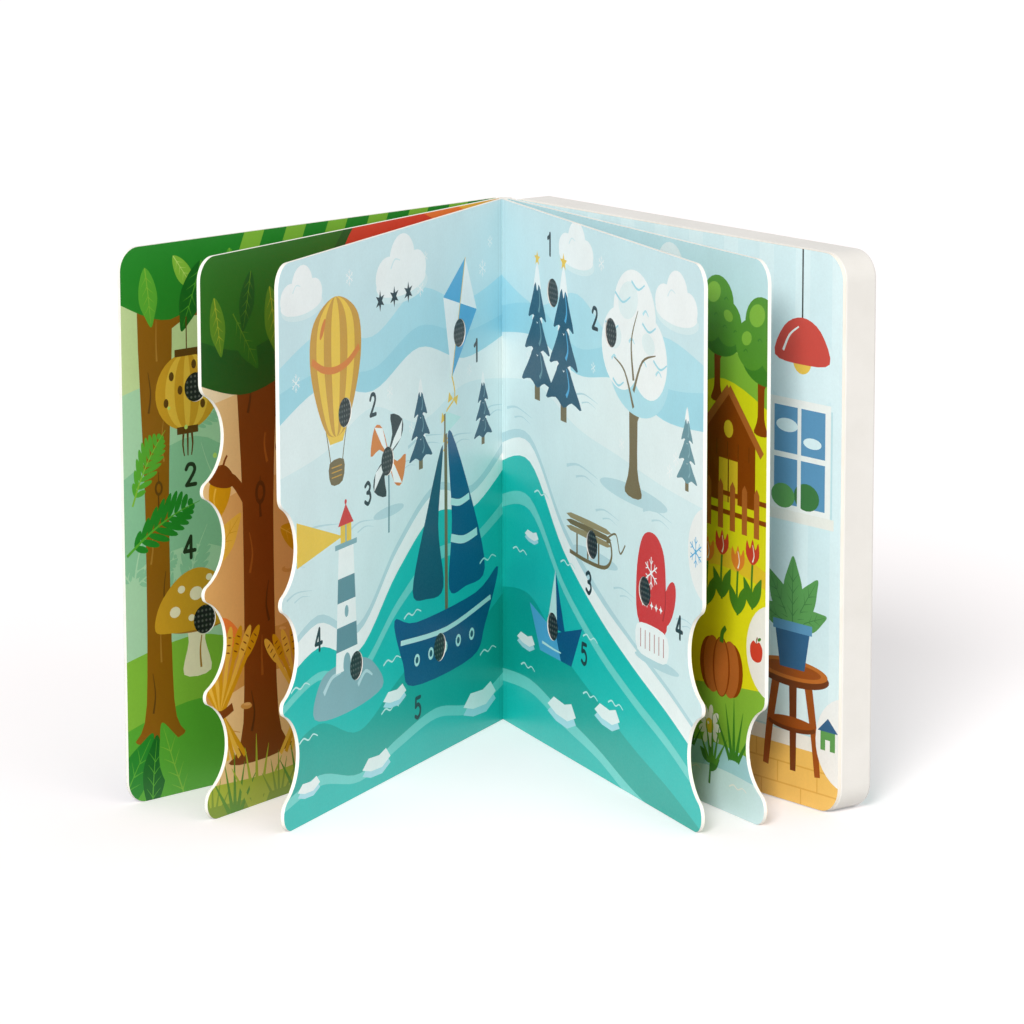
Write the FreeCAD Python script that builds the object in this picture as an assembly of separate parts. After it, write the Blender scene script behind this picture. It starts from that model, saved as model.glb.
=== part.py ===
import FreeCAD, Part
import math
import os

# Touch-and-listen board book, standing open on its tail edge.
# Millimetres, +Z up, the floor at z = 0. The viewer stands on the -Y side, and the
# pages fan out towards them from the gutter. The front cover is the leftmost board
# and the thick sound block, which is the book's back cover, is the rightmost.
# Every board is drawn flat in its own frame: x runs from the spine to the fore-edge,
# z runs up, and y = 0 is the printed side that faces the viewer.

# Boards
bookHeight = 204.0
pageWidth = 190.0
boardThick = 1.4
pageCorner = 8.5

# Index cuts in the fore-edges
biteDepth = 12.7
bitePitch = 37.5
lowestBite = 26.6
cuspRadius = 3.0
shoulderRadius = 5.0
leafOneBites = 4
leafTwoBites = 3
leafThreeBites = 2
leafFourBites = 1

# Round windows in the printed sheet, with a touch pad at the bottom of each
windowDiameter = 10.8
windowDepth = 0.5
padThick = 0.2
padPlay = 0.1

# Fan angles, each from the line that runs left and right through the gutter
coverAngle = 45.2
leafOneAngle = 56.3
leafTwoAngle = 65.8
leafThreeAngle = 68.3
leafFourAngle = 61.5
blockAngle = 52.8

# Glued roots and hinge lines
glueGap = 0.3
leftSetback = 2.1
rightGlueGap = 1.1
rootDepth = 2.0
hingePlay = 0.35
blockRootGap = 1.5
blockRootAdvance = 1.6
hingeLipReach = 1.0
hingeLipThick = 1.0
spineStripThick = 0.8

# Sound block: face board in front, moulded case behind, printed board on its back
blockThick = 16.0
blockCorner = 10.0
caseWall = 2.0
caseBackWall = 1.8
caseSpineCorner = 1.5
caseBackRound = 1.5
caseFrontRound = 0.5
faceInset = 0.3
backBoardThick = 1.0
backRim = 3.0
backBoardPlay = 0.2

# Loudspeaker
speakerDiameter = 36.0
speakerFlange = 2.6
speakerFlangeThick = 1.0
speakerDepth = 4.5
speakerSheet = 0.8
speakerTagThick = 1.0
speakerTagWidth = 6.0
speakerPlateMargin = 2.4
coneThick = 0.3
coneSink = 1.9
coneSetback = 0.2
coneFlat = 1.0
dustCapRadius = 5.0
magnetDiameter = 15.0
magnetThick = 2.2
speakerPlay = 0.3
speakerRingWall = 1.2
speakerRingHeight = 3.0
grilleHoleDiameter = 2.0
grilleRings = 3
grilleRingHoles = 6
grilleRingPitch = 4.0
solderTagWidth = 2.0

# Cells, their bay and its door
cellDiameter = 10.3
cellLength = 43.3
cellNubDiameter = 3.8
cellNubLength = 1.2
cellGap = 0.6
cellCount = 3
cellPlay = 0.2
springLength = 4.0
springDiameter = 6.4
springWire = 0.6
springTurns = 5
terminalThick = 0.4
terminalWidth = 7.0
tagReach = 2.5
bayWall = 1.2
bayFloor = 1.2
bayFloorLift = 0.8
doorThick = 1.5
doorPlay = 0.25
doorLedge = 0.9
doorTongue = 9.0
doorSink = 0.4
doorScrewDiameter = 2.0
doorScrewHead = 4.0
doorScrewHeadThick = 1.0
doorScrewLength = 7.0
doorBossDiameter = 6.0

# Circuit board and what sits on it
circuitWidth = 54.0
circuitHeight = 32.0
circuitThick = 1.2
standoffDiameter = 5.0
standoffInset = 4.0
boardScrewDiameter = 1.8
boardScrewHead = 3.8
boardScrewHeadThick = 1.3
boardScrewLength = 4.4
screwPlay = 0.1
chipBlobDiameter = 9.0
chipBlobThick = 1.3
capacitorDiameter = 5.0
capacitorLength = 5.5
flashWidth = 5.3
flashHeight = 5.0
flashThick = 1.6
resistorLength = 2.0
resistorWidth = 1.2
resistorThick = 0.6
resistorCount = 5
resistorPitch = 2.6
socketWidth = 4.0
socketHeight = 17.0
socketThick = 2.4
tailHeight = 14.0
tailThick = 0.2
tailBendStart = 12.0
tailBendEnd = 6.0
leadDiameter = 1.2
leadRise = 3.2
leadSpread = 3.2
leadInset = 8.8

# Slide switch
switchWidth = 8.6
switchHeight = 4.4
switchThick = 3.4
switchTravel = 3.0
knobWidth = 2.4
knobHeight = 2.0
knobPlay = 0.3
knobSink = 0.3
knobGrip = 1.6
grooveDepth = 0.25

# Gaps between the things in the case
fittingGap = 4.0
bayMargin = 14.0
bayRise = 24.0

# Shares of a whole, for places on the circuit board and for small shapes
shares = {
    "switchAcross": 0.72,
    "switchUp": 0.62,
    "blobAcross": 0.38,
    "flashAcross": 0.56,
    "capacitorAcross": 0.84,
    "blobRound": 0.8,
    "dustCapShoulder": 0.7,
    "slotLength": 0.6,
    "slotWidth": 0.16,
    "grooveWidth": 0.12,
    "leadBend": 0.45,
}
grooveSpots = (0.22, 0.46, 0.70)

# Window places as shares of the page's width and height, page 1 inside the cover
windowSpots = {
    1: ((0.815, 0.735), (0.80, 0.31), (0.27, 0.80), (0.34, 0.42)),
    2: ((0.24, 0.30), (0.55, 0.80), (0.78, 0.86), (0.42, 0.55), (0.60, 0.18)),
    3: ((0.20, 0.74), (0.47, 0.86), (0.40, 0.48), (0.22, 0.22), (0.52, 0.16)),
    4: ((0.30, 0.84), (0.66, 0.78), (0.25, 0.52), (0.58, 0.44), (0.36, 0.17)),
    5: ((0.725, 0.705), (0.205, 0.775), (0.54, 0.588), (0.685, 0.24), (0.305, 0.20)),
    6: ((0.27, 0.858), (0.563, 0.825), (0.47, 0.423), (0.73, 0.385), (0.268, 0.232)),
    7: ((0.62, 0.76), (0.26, 0.68), (0.48, 0.30), (0.18, 0.26)),
    8: ((0.24, 0.80), (0.52, 0.70), (0.30, 0.44), (0.58, 0.34), (0.22, 0.16)),
    9: ((0.64, 0.80), (0.30, 0.62), (0.68, 0.42), (0.36, 0.24)),
    10: ((0.26, 0.78), (0.56, 0.66), (0.24, 0.40), (0.50, 0.24)),
}

up = FreeCAD.Vector(0, 0, 1)
deep = FreeCAD.Vector(0, 1, 0)
samePlace = 1e-6

# Depths inside the block, from the face towards the back
faceBack = boardThick
recessFloor = blockThick - backBoardThick
backWallInner = recessFloor - caseBackWall
bayFloorTop = faceBack + bayFloor + bayFloorLift
cellDepth = bayFloorTop + cellPlay + cellDiameter / 2
doorInner = cellDepth + cellDiameter / 2 + cellPlay
doorOuter = doorInner + doorThick
circuitBack = backWallInner - switchThick - cellPlay
circuitFront = circuitBack - circuitThick

# Places in the block: the bay near the fore-edge, the speaker beside it, the board above
cellPitch = cellDiameter + cellGap
bayInnerWidth = cellCount * cellPitch
bayInnerLength = 2 * terminalThick + springLength + cellLength + cellNubLength
bayRight = pageWidth - caseWall - bayMargin
bayLeft = bayRight - bayInnerWidth
bayBottom = caseWall + bayRise
bayTop = bayBottom + bayInnerLength
speakerX = bayLeft - bayWall - fittingGap - speakerRingWall - speakerPlay - speakerDiameter / 2
speakerZ = (bayBottom + bayTop) / 2
circuitLeft = speakerX - speakerDiameter / 4
circuitBottom = bayTop + bayWall + doorTongue + fittingGap
switchX = circuitLeft + circuitWidth * shares["switchAcross"]
switchZ = circuitBottom + circuitHeight * shares["switchUp"]


def boardFrame(root, turn):
    """A flat board's own frame, set at its root and turned about the vertical."""
    return FreeCAD.Placement(root, FreeCAD.Rotation(up, turn))


def nextRoot(frame, side, along, gap):
    """The root of the board that lies behind this one in the stack."""
    return frame.multVec(FreeCAD.Vector(along, side * (boardThick + gap), 0))


# Left boards turn their thickness to -y, right boards to +y
left, right = -1, 1
leafTwo = boardFrame(FreeCAD.Vector(0, 0, 0), 180 + leafTwoAngle)
leafOne = boardFrame(nextRoot(leafTwo, left, -leftSetback, glueGap), 180 + leafOneAngle)
cover = boardFrame(nextRoot(leafOne, left, 0, hingePlay), 180 + coverAngle)
leafThree = boardFrame(FreeCAD.Vector(0, 0, 0), -leafThreeAngle)
leafFour = boardFrame(nextRoot(leafThree, right, 0, rightGlueGap), -leafFourAngle)
block = boardFrame(nextRoot(leafFour, right, blockRootAdvance, blockRootGap), -blockAngle)


def arcEdge(start, end, centre):
    """The shorter arc between two points (x, z) about a centre, in the y = 0 plane."""
    outward = [(start[k] + end[k]) / 2 - centre[k] for k in (0, 1)]
    radius = math.hypot(start[0] - centre[0], start[1] - centre[1])
    scale = radius / math.hypot(outward[0], outward[1])
    middle = [centre[k] + outward[k] * scale for k in (0, 1)]
    points = [FreeCAD.Vector(p[0], 0, p[1]) for p in (start, middle, end)]
    return Part.Arc(*points).toShape()


def lineEdge(start, end):
    points = [FreeCAD.Vector(p[0], 0, p[1]) for p in (start, end)]
    return Part.LineSegment(*points).toShape()


def touchPoint(small, smallRadius, big, bigRadius):
    """Where two circles that touch from outside meet."""
    share = smallRadius / (smallRadius + bigRadius)
    return [small[k] + (big[k] - small[k]) * share for k in (0, 1)]


def foreEdge(width, height, corner, biteCount):
    """Edges of the fore-edge, from the bottom edge to the top edge, and where it starts."""
    if biteCount == 0:
        bottomRadius = corner
        start = [width - corner, 0]
        edges = [arcEdge(start, [width, corner], [width - corner, corner])]
        straightFrom = corner
    else:
        # Bite circles touch the rounded cusps between them, whose tips lie on the fore-edge
        sumRadius = ((bitePitch / 2) ** 2 + biteDepth ** 2) / (2 * biteDepth)
        biteRadius = sumRadius - cuspRadius
        biteOut = biteRadius - biteDepth
        # The bottom corner touches the tail edge, the fore-edge and the lowest bite
        b = 2 * (biteOut - lowestBite - biteRadius)
        c = biteOut ** 2 + lowestBite ** 2 - biteRadius ** 2
        bottomRadius = (-b - math.sqrt(b * b - 4 * c)) / 2
        start = [width - bottomRadius, 0]
        roundCentre, roundRadius = [width - bottomRadius, bottomRadius], bottomRadius
        here = start
        edges = []
        for k in range(biteCount):
            biteCentre = [width + biteOut, lowestBite + k * bitePitch]
            entry = touchPoint(roundCentre, roundRadius, biteCentre, biteRadius)
            edges.append(arcEdge(here, entry, roundCentre))
            if k < biteCount - 1:
                roundRadius = cuspRadius
                roundCentre = [width - cuspRadius, biteCentre[1] + bitePitch / 2]
            else:
                roundRadius = shoulderRadius
                reach = biteRadius + shoulderRadius
                rise = math.sqrt(reach ** 2 - (biteOut + shoulderRadius) ** 2)
                roundCentre = [width - shoulderRadius, biteCentre[1] + rise]
            here = touchPoint(roundCentre, roundRadius, biteCentre, biteRadius)
            edges.append(arcEdge(entry, here, biteCentre))
        straightFrom = roundCentre[1]
        edges.append(arcEdge(here, [width, straightFrom], roundCentre))
    edges.append(lineEdge([width, straightFrom], [width, height - corner]))
    edges.append(arcEdge([width, height - corner], [width - corner, height],
                         [width - corner, height - corner]))
    return start, edges


def boardFace(width, height, corner, biteCount=0, rootX=0.0, rootCorner=0.0):
    """The board's outline as a face in the y = 0 plane."""
    start, edges = foreEdge(width, height, corner, biteCount)
    topEnd = [rootX + rootCorner, height]
    edges.append(lineEdge([width - corner, height], topEnd))
    if rootCorner > 0:
        upper = [rootX, height - rootCorner]
        lower = [rootX, rootCorner]
        edges.append(arcEdge(topEnd, upper, [rootX + rootCorner, height - rootCorner]))
        edges.append(lineEdge(upper, lower))
        edges.append(arcEdge(lower, [rootX + rootCorner, 0],
                             [rootX + rootCorner, rootCorner]))
    else:
        edges.append(lineEdge(topEnd, [rootX, 0]))
    edges.append(lineEdge([rootX + rootCorner, 0], start))
    return Part.Face(Part.Wire(edges))


def insetBoard(inset, corner, rootCorner, fromDepth, toDepth):
    """A block-sized board, drawn in by an inset on all four sides."""
    face = boardFace(pageWidth - 2 * inset, bookHeight - 2 * inset, corner,
                     rootCorner=rootCorner)
    solid = face.extrude(deep * (toDepth - fromDepth))
    solid.translate(FreeCAD.Vector(inset, fromDepth, inset))
    return solid


def disc(x, z, fromDepth, toDepth, diameter):
    """A cylinder along y between two depths."""
    low, high = min(fromDepth, toDepth), max(fromDepth, toDepth)
    return Part.makeCylinder(diameter / 2, high - low, FreeCAD.Vector(x, low, z), deep)


def box(x, z, width, height, fromDepth, toDepth):
    """A block from its lower left corner, between two depths."""
    low, high = min(fromDepth, toDepth), max(fromDepth, toDepth)
    return Part.makeBox(width, high - low, height, FreeCAD.Vector(x, low, z))


def windowCentres(page):
    return [(share[0] * pageWidth, share[1] * bookHeight) for share in windowSpots[page]]


def cutWindows(board, page, surface, inward):
    """Sink a page's windows into a board from the given surface."""
    floor = surface + inward * windowDepth
    holes = [disc(x, z, surface, floor, windowDiameter) for x, z in windowCentres(page)]
    return board.cut(Part.makeCompound(holes))


def touchPads(page, surface, inward):
    """The discs at the bottom of a page's windows."""
    floor = surface + inward * windowDepth
    top = floor - inward * padThick
    diameter = windowDiameter - 2 * padPlay
    return Part.makeCompound([disc(x, z, top, floor, diameter)
                              for x, z in windowCentres(page)])


def leaf(frame, side, biteCount, frontPage, backPage):
    """One leaf with its index cuts and the windows of both its pages, in place."""
    face = boardFace(pageWidth, bookHeight, pageCorner, biteCount, rootX=-rootDepth)
    solid = face.extrude(deep * (side * boardThick))
    solid = cutWindows(solid, frontPage, 0, side)
    solid = cutWindows(solid, backPage, side * boardThick, -side)
    solid.Placement = frame
    return solid


def placed(shape, frame):
    shape.Placement = frame.multiply(shape.Placement)
    return shape


def wall(points):
    """An upright prism as tall as the book, from corners in plan."""
    corners = [FreeCAD.Vector(p.x, p.y, 0) for p in points]
    return Part.Face(Part.makePolygon(corners + corners[:1])).extrude(up * bookHeight)


# Corners of the glued root, in plan
leafOneOuter = leafOne.multVec(FreeCAD.Vector(0, -boardThick, 0))
leafOneBack = leafOne.multVec(FreeCAD.Vector(-rootDepth, -boardThick, 0))
leafFourInner = leafFour.Base
leafFourOuter = leafFour.multVec(FreeCAD.Vector(0, boardThick, 0))
leafFourBack = leafFourOuter + FreeCAD.Vector(0, rootDepth, 0)


def hingeLip():
    """The creased sheet that joins the last leaf to the block, with a round nose."""
    away = leafFourOuter - block.Base
    reach = away.Length
    away.normalize()
    tip = block.Base + away * hingeLipReach
    across = away.cross(up) * (hingeLipThick / 2)
    root = block.Base + away * (reach + boardThick / 2)
    web = wall([tip + across, root + across, root - across, tip - across])
    nose = Part.makeCylinder(hingeLipThick / 2, bookHeight, tip, up)
    return web.fuse(nose)


def pages():
    """Four leaves, glued to one another at the spine."""
    root = wall([FreeCAD.Vector(0, 0, 0), leafFourInner, leafFourOuter, leafFourBack,
                 leafOneBack, leafOneOuter])
    leaves = [leaf(leafOne, left, leafOneBites, 3, 2),
              leaf(leafTwo, left, leafTwoBites, 5, 4),
              leaf(leafThree, right, leafThreeBites, 6, 7),
              leaf(leafFour, right, leafFourBites, 8, 9)]
    return root.multiFuse(leaves + [hingeLip()]).removeSplitter()


def spineStrip():
    """The strip glued across the roots at the back."""
    run = leafOneBack - leafFourBack
    outward = run.cross(up)
    outward.normalize()
    outward = outward * spineStripThick
    if outward.y < 0:
        outward = outward * -1
    return wall([leafFourBack, leafOneBack, leafOneBack + outward, leafFourBack + outward])


def frontCover():
    board = boardFace(pageWidth, bookHeight, pageCorner).extrude(deep * (left * boardThick))
    return placed(cutWindows(board, 1, 0, left), cover)


def faceBoard():
    """The block's last printed page, glued to the front of the case."""
    board = insetBoard(faceInset, blockCorner - faceInset, 0.0, 0, faceBack)
    return cutWindows(board, 10, 0, right)


def grilleCentres():
    """Holes in rings about the speaker's centre, more of them in each ring."""
    centres = [(speakerX, speakerZ)]
    for ring in range(1, grilleRings + 1):
        count = grilleRingHoles * ring
        for k in range(count):
            turn = 2 * math.pi * k / count
            centres.append((speakerX + ring * grilleRingPitch * math.cos(turn),
                            speakerZ + ring * grilleRingPitch * math.sin(turn)))
    return centres


def grilleHoles(fromDepth, toDepth):
    return [disc(x, z, fromDepth, toDepth, grilleHoleDiameter) for x, z in grilleCentres()]


def doorBox(grow, fromDepth, toDepth):
    """The door's outline, from the bay's foot to the end of the screw tongue."""
    ledge = doorLedge + grow
    return box(bayLeft - ledge, bayBottom - ledge, bayInnerWidth + 2 * ledge,
               bayInnerLength + bayWall + doorTongue + 2 * ledge, fromDepth, toDepth)


doorScrewX = (bayLeft + bayRight) / 2
doorScrewZ = bayTop + bayWall + doorTongue / 2


def switchSlot(fromDepth, toDepth):
    return box(switchX - knobWidth / 2 - knobPlay, switchZ - knobHeight / 2 - knobPlay,
               knobWidth + switchTravel + 2 * knobPlay, knobHeight + 2 * knobPlay,
               fromDepth, toDepth)


def standoffCentres():
    xs = (circuitLeft + standoffInset, circuitLeft + circuitWidth - standoffInset)
    zs = (circuitBottom + standoffInset, circuitBottom + circuitHeight - standoffInset)
    return [(x, z) for x in xs for z in zs]


def caseShell():
    """The outer shell: four walls, a back with a rim, and rounded edges."""
    shell = insetBoard(0, blockCorner, caseSpineCorner, faceBack, blockThick)
    backEdges = [e for e in shell.Edges
                 if all(abs(v.Point.y - blockThick) < samePlace for v in e.Vertexes)]
    shell = shell.makeFillet(caseBackRound, backEdges)
    frontEdges = [e for e in shell.Edges
                  if all(abs(v.Point.y - faceBack) < samePlace for v in e.Vertexes)]
    shell = shell.makeFillet(caseFrontRound, frontEdges)
    cavity = insetBoard(caseWall, blockCorner - caseWall, caseSpineCorner,
                        faceBack, backWallInner)
    recess = insetBoard(backRim, blockCorner - backRim, caseSpineCorner,
                        recessFloor, blockThick)
    return shell.cut(cavity).cut(recess)


def bayTub():
    """Walls and floor of the cell bay, which rise from the case's back."""
    outer = box(bayLeft - bayWall, bayBottom - bayWall, bayInnerWidth + 2 * bayWall,
                bayInnerLength + 2 * bayWall, bayFloorTop - bayFloor, backWallInner)
    screwBoss = disc(doorScrewX, doorScrewZ, doorInner - doorScrewLength, backWallInner,
                     doorBossDiameter)
    return outer.fuse(screwBoss)


def bayHollow():
    """What is cut for the cells: the tub's inside, the door's seat and its screw hole."""
    inner = box(bayLeft, bayBottom, bayInnerWidth, bayInnerLength, bayFloorTop, blockThick)
    seat = doorBox(doorPlay, doorInner, blockThick)
    pilot = disc(doorScrewX, doorScrewZ, doorInner - doorScrewLength + bayWall, doorInner,
                 doorScrewDiameter + 2 * screwPlay)
    return inner.fuse([seat, pilot])


def moduleCase():
    """The moulded case with everything that is moulded in it."""
    ringOuter = speakerDiameter + 2 * (speakerPlay + speakerRingWall)
    ring = disc(speakerX, speakerZ, backWallInner - speakerRingHeight, backWallInner, ringOuter)
    ring = ring.cut(disc(speakerX, speakerZ, backWallInner - speakerRingHeight,
                         backWallInner, speakerDiameter + 2 * speakerPlay))
    posts = [disc(x, z, circuitBack, backWallInner, standoffDiameter)
             for x, z in standoffCentres()]
    case = caseShell().fuse([ring, bayTub()] + posts)
    pilots = [disc(x, z, circuitBack, circuitBack + boardScrewLength - circuitThick
                   + screwPlay, boardScrewDiameter + 2 * screwPlay)
              for x, z in standoffCentres()]
    cuts = grilleHoles(backWallInner, recessFloor) + pilots
    cuts += [bayHollow(), switchSlot(backWallInner, recessFloor)] + tagSlots()
    return case.cut(cuts).removeSplitter()


def backBoard():
    """The printed board let into the back of the case."""
    inset = backRim + backBoardPlay
    board = insetBoard(inset, blockCorner - inset, caseSpineCorner, recessFloor, blockThick)
    cuts = grilleHoles(recessFloor, blockThick)
    cuts += [doorBox(doorPlay, recessFloor, blockThick), switchSlot(recessFloor, blockThick)]
    return board.cut(cuts)


def batteryDoor():
    door = doorBox(0, doorInner, doorOuter)
    hole = disc(doorScrewX, doorScrewZ, doorInner, doorOuter,
                doorScrewDiameter + 2 * screwPlay)
    sink = disc(doorScrewX, doorScrewZ, doorOuter - doorScrewHeadThick + doorSink, doorOuter,
                doorScrewHead + 2 * screwPlay)
    return door.cut([hole, sink])


def screw(x, z, seat, head, headThick, shank, length, outward):
    """A pan-head screw along y, its head standing outward from the seat."""
    cap = disc(x, z, seat, seat + outward * headThick, head)
    stem = disc(x, z, seat, seat - outward * length, shank)
    slotLength, slotWidth = head * shares["slotLength"], head * shares["slotWidth"]
    slotDepth = (seat + outward * headThick, seat + outward * headThick / 2)
    slots = [box(x - slotLength / 2, z - slotWidth / 2, slotLength, slotWidth, *slotDepth),
             box(x - slotWidth / 2, z - slotLength / 2, slotWidth, slotLength, *slotDepth)]
    return cap.fuse(stem).cut(slots).removeSplitter()


def doorScrew():
    seat = doorOuter - doorScrewHeadThick + doorSink
    return screw(doorScrewX, doorScrewZ, seat, doorScrewHead, doorScrewHeadThick,
                 doorScrewDiameter, doorScrewLength - bayWall, 1)


def cellCentre(k):
    return bayLeft + cellPitch * (k + 0.5)


def cellPointsUp(k):
    return k % 2 == 0


def batteryCells():
    """Upright cells side by side, each one the other way up from its neighbour."""
    cells = []
    for k in range(cellCount):
        x = cellCentre(k)
        cell = Part.makeCylinder(cellDiameter / 2, cellLength)
        nub = Part.makeCylinder(cellNubDiameter / 2, cellNubLength,
                                FreeCAD.Vector(0, 0, cellLength))
        cell = cell.fuse(nub).removeSplitter()
        if cellPointsUp(k):
            z = bayBottom + terminalThick + springLength
        else:
            cell.rotate(FreeCAD.Vector(0, 0, 0), deep, 180)
            z = bayTop - terminalThick - springLength
        cell.translate(FreeCAD.Vector(x, cellDepth, z))
        cells.append(cell)
    return Part.makeCompound(cells)


def springShape():
    """A coil spring with its turns closed up, as a ring of beads from z = 0 up."""
    outer, inner = springDiameter / 2, springDiameter / 2 - springWire * 2
    rise = springLength / springTurns
    points = []
    for k in range(springTurns):
        points += [(outer - springWire / 2, k * rise), (outer, (k + 0.5) * rise)]
    points.append((outer - springWire / 2, springLength))
    points.append((inner + springWire / 2, springLength))
    for k in reversed(range(springTurns)):
        points += [(inner, (k + 0.5) * rise), (inner + springWire / 2, k * rise)]
    corners = [FreeCAD.Vector(r, 0, z) for r, z in points]
    profile = Part.Face(Part.makePolygon(corners + corners[:1]))
    return profile.revolve(FreeCAD.Vector(0, 0, 0), up, 360)


def batterySprings():
    springs = []
    for k in range(cellCount):
        spring = springShape()
        if cellPointsUp(k):
            z = bayBottom + terminalThick
        else:
            z = bayTop - terminalThick - springLength
        spring.translate(FreeCAD.Vector(cellCentre(k), cellDepth, z))
        springs.append(spring)
    return Part.makeCompound(springs)


def plateGroups():
    """Cells that share a plate, first at the top end and then at the bottom end."""
    top = [[0]] + [[k, k + 1] for k in range(1, cellCount - 1, 2)]
    bottom = [[k, k + 1] for k in range(0, cellCount - 1, 2)]
    if cellCount % 2 == 1:
        bottom.append([cellCount - 1])
    elif cellCount > 1:
        top.append([cellCount - 1])
    return top, bottom


def terminalTag(k, atTop, grow):
    """The solder tag of a single plate, which pokes out through the tub's end wall."""
    reach = bayWall + tagReach + grow
    z = bayTop if atTop else bayBottom - reach
    return box(cellCentre(k) - solderTagWidth / 2 - grow, z, solderTagWidth + 2 * grow, reach,
               cellDepth - terminalThick / 2 - grow, cellDepth + terminalThick / 2 + grow)


def tagSlots():
    slots = [terminalTag(0, True, screwPlay)]
    slots.append(terminalTag(cellCount - 1, cellCount % 2 == 0, screwPlay))
    return slots


def batteryTerminals():
    plates = []
    for atTop, groups in zip((True, False), plateGroups()):
        z = bayTop - terminalThick if atTop else bayBottom
        for group in groups:
            x = cellCentre(group[0]) - terminalWidth / 2
            width = cellCentre(group[-1]) + terminalWidth / 2 - x
            plate = box(x, z, width, terminalThick,
                        cellDepth - terminalWidth / 2, cellDepth + terminalWidth / 2)
            if len(group) == 1:
                plate = plate.fuse(terminalTag(group[0], atTop, 0)).removeSplitter()
            plates.append(plate)
    return Part.makeCompound(plates)


def turned(points):
    """A solid of revolution about the speaker's axis, from (radius, depth) points."""
    corners = [FreeCAD.Vector(speakerX + r, depth, speakerZ) for r, depth in points]
    profile = Part.Face(Part.makePolygon(corners + corners[:1]))
    return profile.revolve(FreeCAD.Vector(speakerX, 0, speakerZ), deep, 360)


speakerFront = backWallInner
speakerBack = speakerFront - speakerDepth
flangeInner = speakerDiameter / 2 - speakerFlange
plateRadius = magnetDiameter / 2 + speakerPlateMargin


def speakerFrame():
    """The pressed steel basket: a flange, a sloping wall and a closed back plate."""
    rim = speakerDiameter / 2
    flangeBack = speakerFront - speakerFlangeThick
    basket = turned([(0, speakerBack), (plateRadius, speakerBack),
                     (flangeInner + speakerSheet, flangeBack), (rim, flangeBack),
                     (rim, speakerFront), (flangeInner, speakerFront),
                     (flangeInner, flangeBack + speakerSheet / 2),
                     (plateRadius - speakerSheet / 2, speakerBack + speakerSheet),
                     (0, speakerBack + speakerSheet)])
    tag = box(speakerX - speakerTagWidth / 2, speakerZ + flangeInner + speakerSheet,
              speakerTagWidth, speakerFlange - speakerSheet,
              flangeBack - speakerTagThick, flangeBack)
    return basket.fuse(tag).removeSplitter()


def speakerCone():
    """A paper cone with a flat edge, and a domed dust cap in its middle."""
    edge = speakerFront - coneSetback
    low = edge - coneSink
    flatFrom = flangeInner - coneFlat
    shoulder = dustCapRadius * shares["dustCapShoulder"]
    return turned([(0, low + 2 * coneThick), (shoulder, low + coneThick),
                   (dustCapRadius, low - coneThick), (flatFrom, edge - coneThick),
                   (flangeInner, edge - coneThick), (flangeInner, edge),
                   (flatFrom, edge), (dustCapRadius, low),
                   (shoulder, low + 2 * coneThick), (0, low + 3 * coneThick)])


def speakerMagnet():
    return disc(speakerX, speakerZ, speakerBack - magnetThick, speakerBack, magnetDiameter)


def circuitBoard():
    board = box(circuitLeft, circuitBottom, circuitWidth, circuitHeight,
                circuitFront, circuitBack)
    holes = [disc(x, z, circuitFront, circuitBack, boardScrewDiameter + 2 * screwPlay)
             for x, z in standoffCentres()]
    return board.cut(holes)


def circuitParts():
    """A sound chip under its blob, a memory chip, a capacitor and a row of resistors."""
    middle = circuitBottom + circuitHeight / 2
    blobX = circuitLeft + circuitWidth * shares["blobAcross"]
    blob = disc(blobX, middle, circuitFront - chipBlobThick, circuitFront, chipBlobDiameter)
    rim = [e for e in blob.Edges if e.Closed
           and abs(e.CenterOfMass.y - (circuitFront - chipBlobThick)) < samePlace]
    blob = blob.makeFillet(chipBlobThick * shares["blobRound"], rim)
    flashX = circuitLeft + circuitWidth * shares["flashAcross"]
    flash = box(flashX, middle - flashHeight / 2, flashWidth, flashHeight,
                circuitFront - flashThick, circuitFront)
    capacitorX = circuitLeft + circuitWidth * shares["capacitorAcross"]
    capacitor = disc(capacitorX, middle, circuitFront - capacitorLength, circuitFront,
                     capacitorDiameter)
    resistors = [box(blobX + k * resistorPitch, circuitBottom + standoffInset,
                     resistorWidth, resistorLength, circuitFront - resistorThick, circuitFront)
                 for k in range(resistorCount)]
    return Part.makeCompound([blob, flash, capacitor] + resistors)


socketX = circuitLeft + standoffDiameter + socketWidth
socketZ = circuitBottom + circuitHeight / 2


def ribbonSocket():
    """The socket that the film tail goes into, on the circuit board's front."""
    return box(socketX, socketZ - socketHeight / 2, socketWidth, socketHeight,
               circuitFront - socketThick, circuitFront)


def runPath(points):
    """Straight runs through points, joined by tangent arcs as large as the runs allow."""
    edges = []
    here = points[0]
    for before, corner, after in zip(points, points[1:], points[2:]):
        inRun, outRun = corner - before, after - corner
        turn = inRun.getAngle(outRun)
        setback = shares["leadBend"] * min(inRun.Length, outRun.Length)
        radius = setback / math.tan(turn / 2)
        inRun.normalize()
        outRun.normalize()
        arcStart, arcEnd = corner - inRun * setback, corner + outRun * setback
        bisector = outRun - inRun
        bisector.normalize()
        centre = corner + bisector * math.hypot(radius, setback)
        edges.append(Part.LineSegment(here, arcStart).toShape())
        edges.append(Part.Arc(arcStart, centre - bisector * radius, arcEnd).toShape())
        here = arcEnd
    edges.append(Part.LineSegment(here, points[-1]).toShape())
    return Part.Wire(edges)


def lead(points):
    """An insulated wire along a path of runs and arcs."""
    path = runPath(points)
    ring = Part.Circle(points[0], points[1] - points[0], leadDiameter / 2).toShape()
    return path.makePipeShell([Part.Wire([ring])], True, False)


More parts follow.
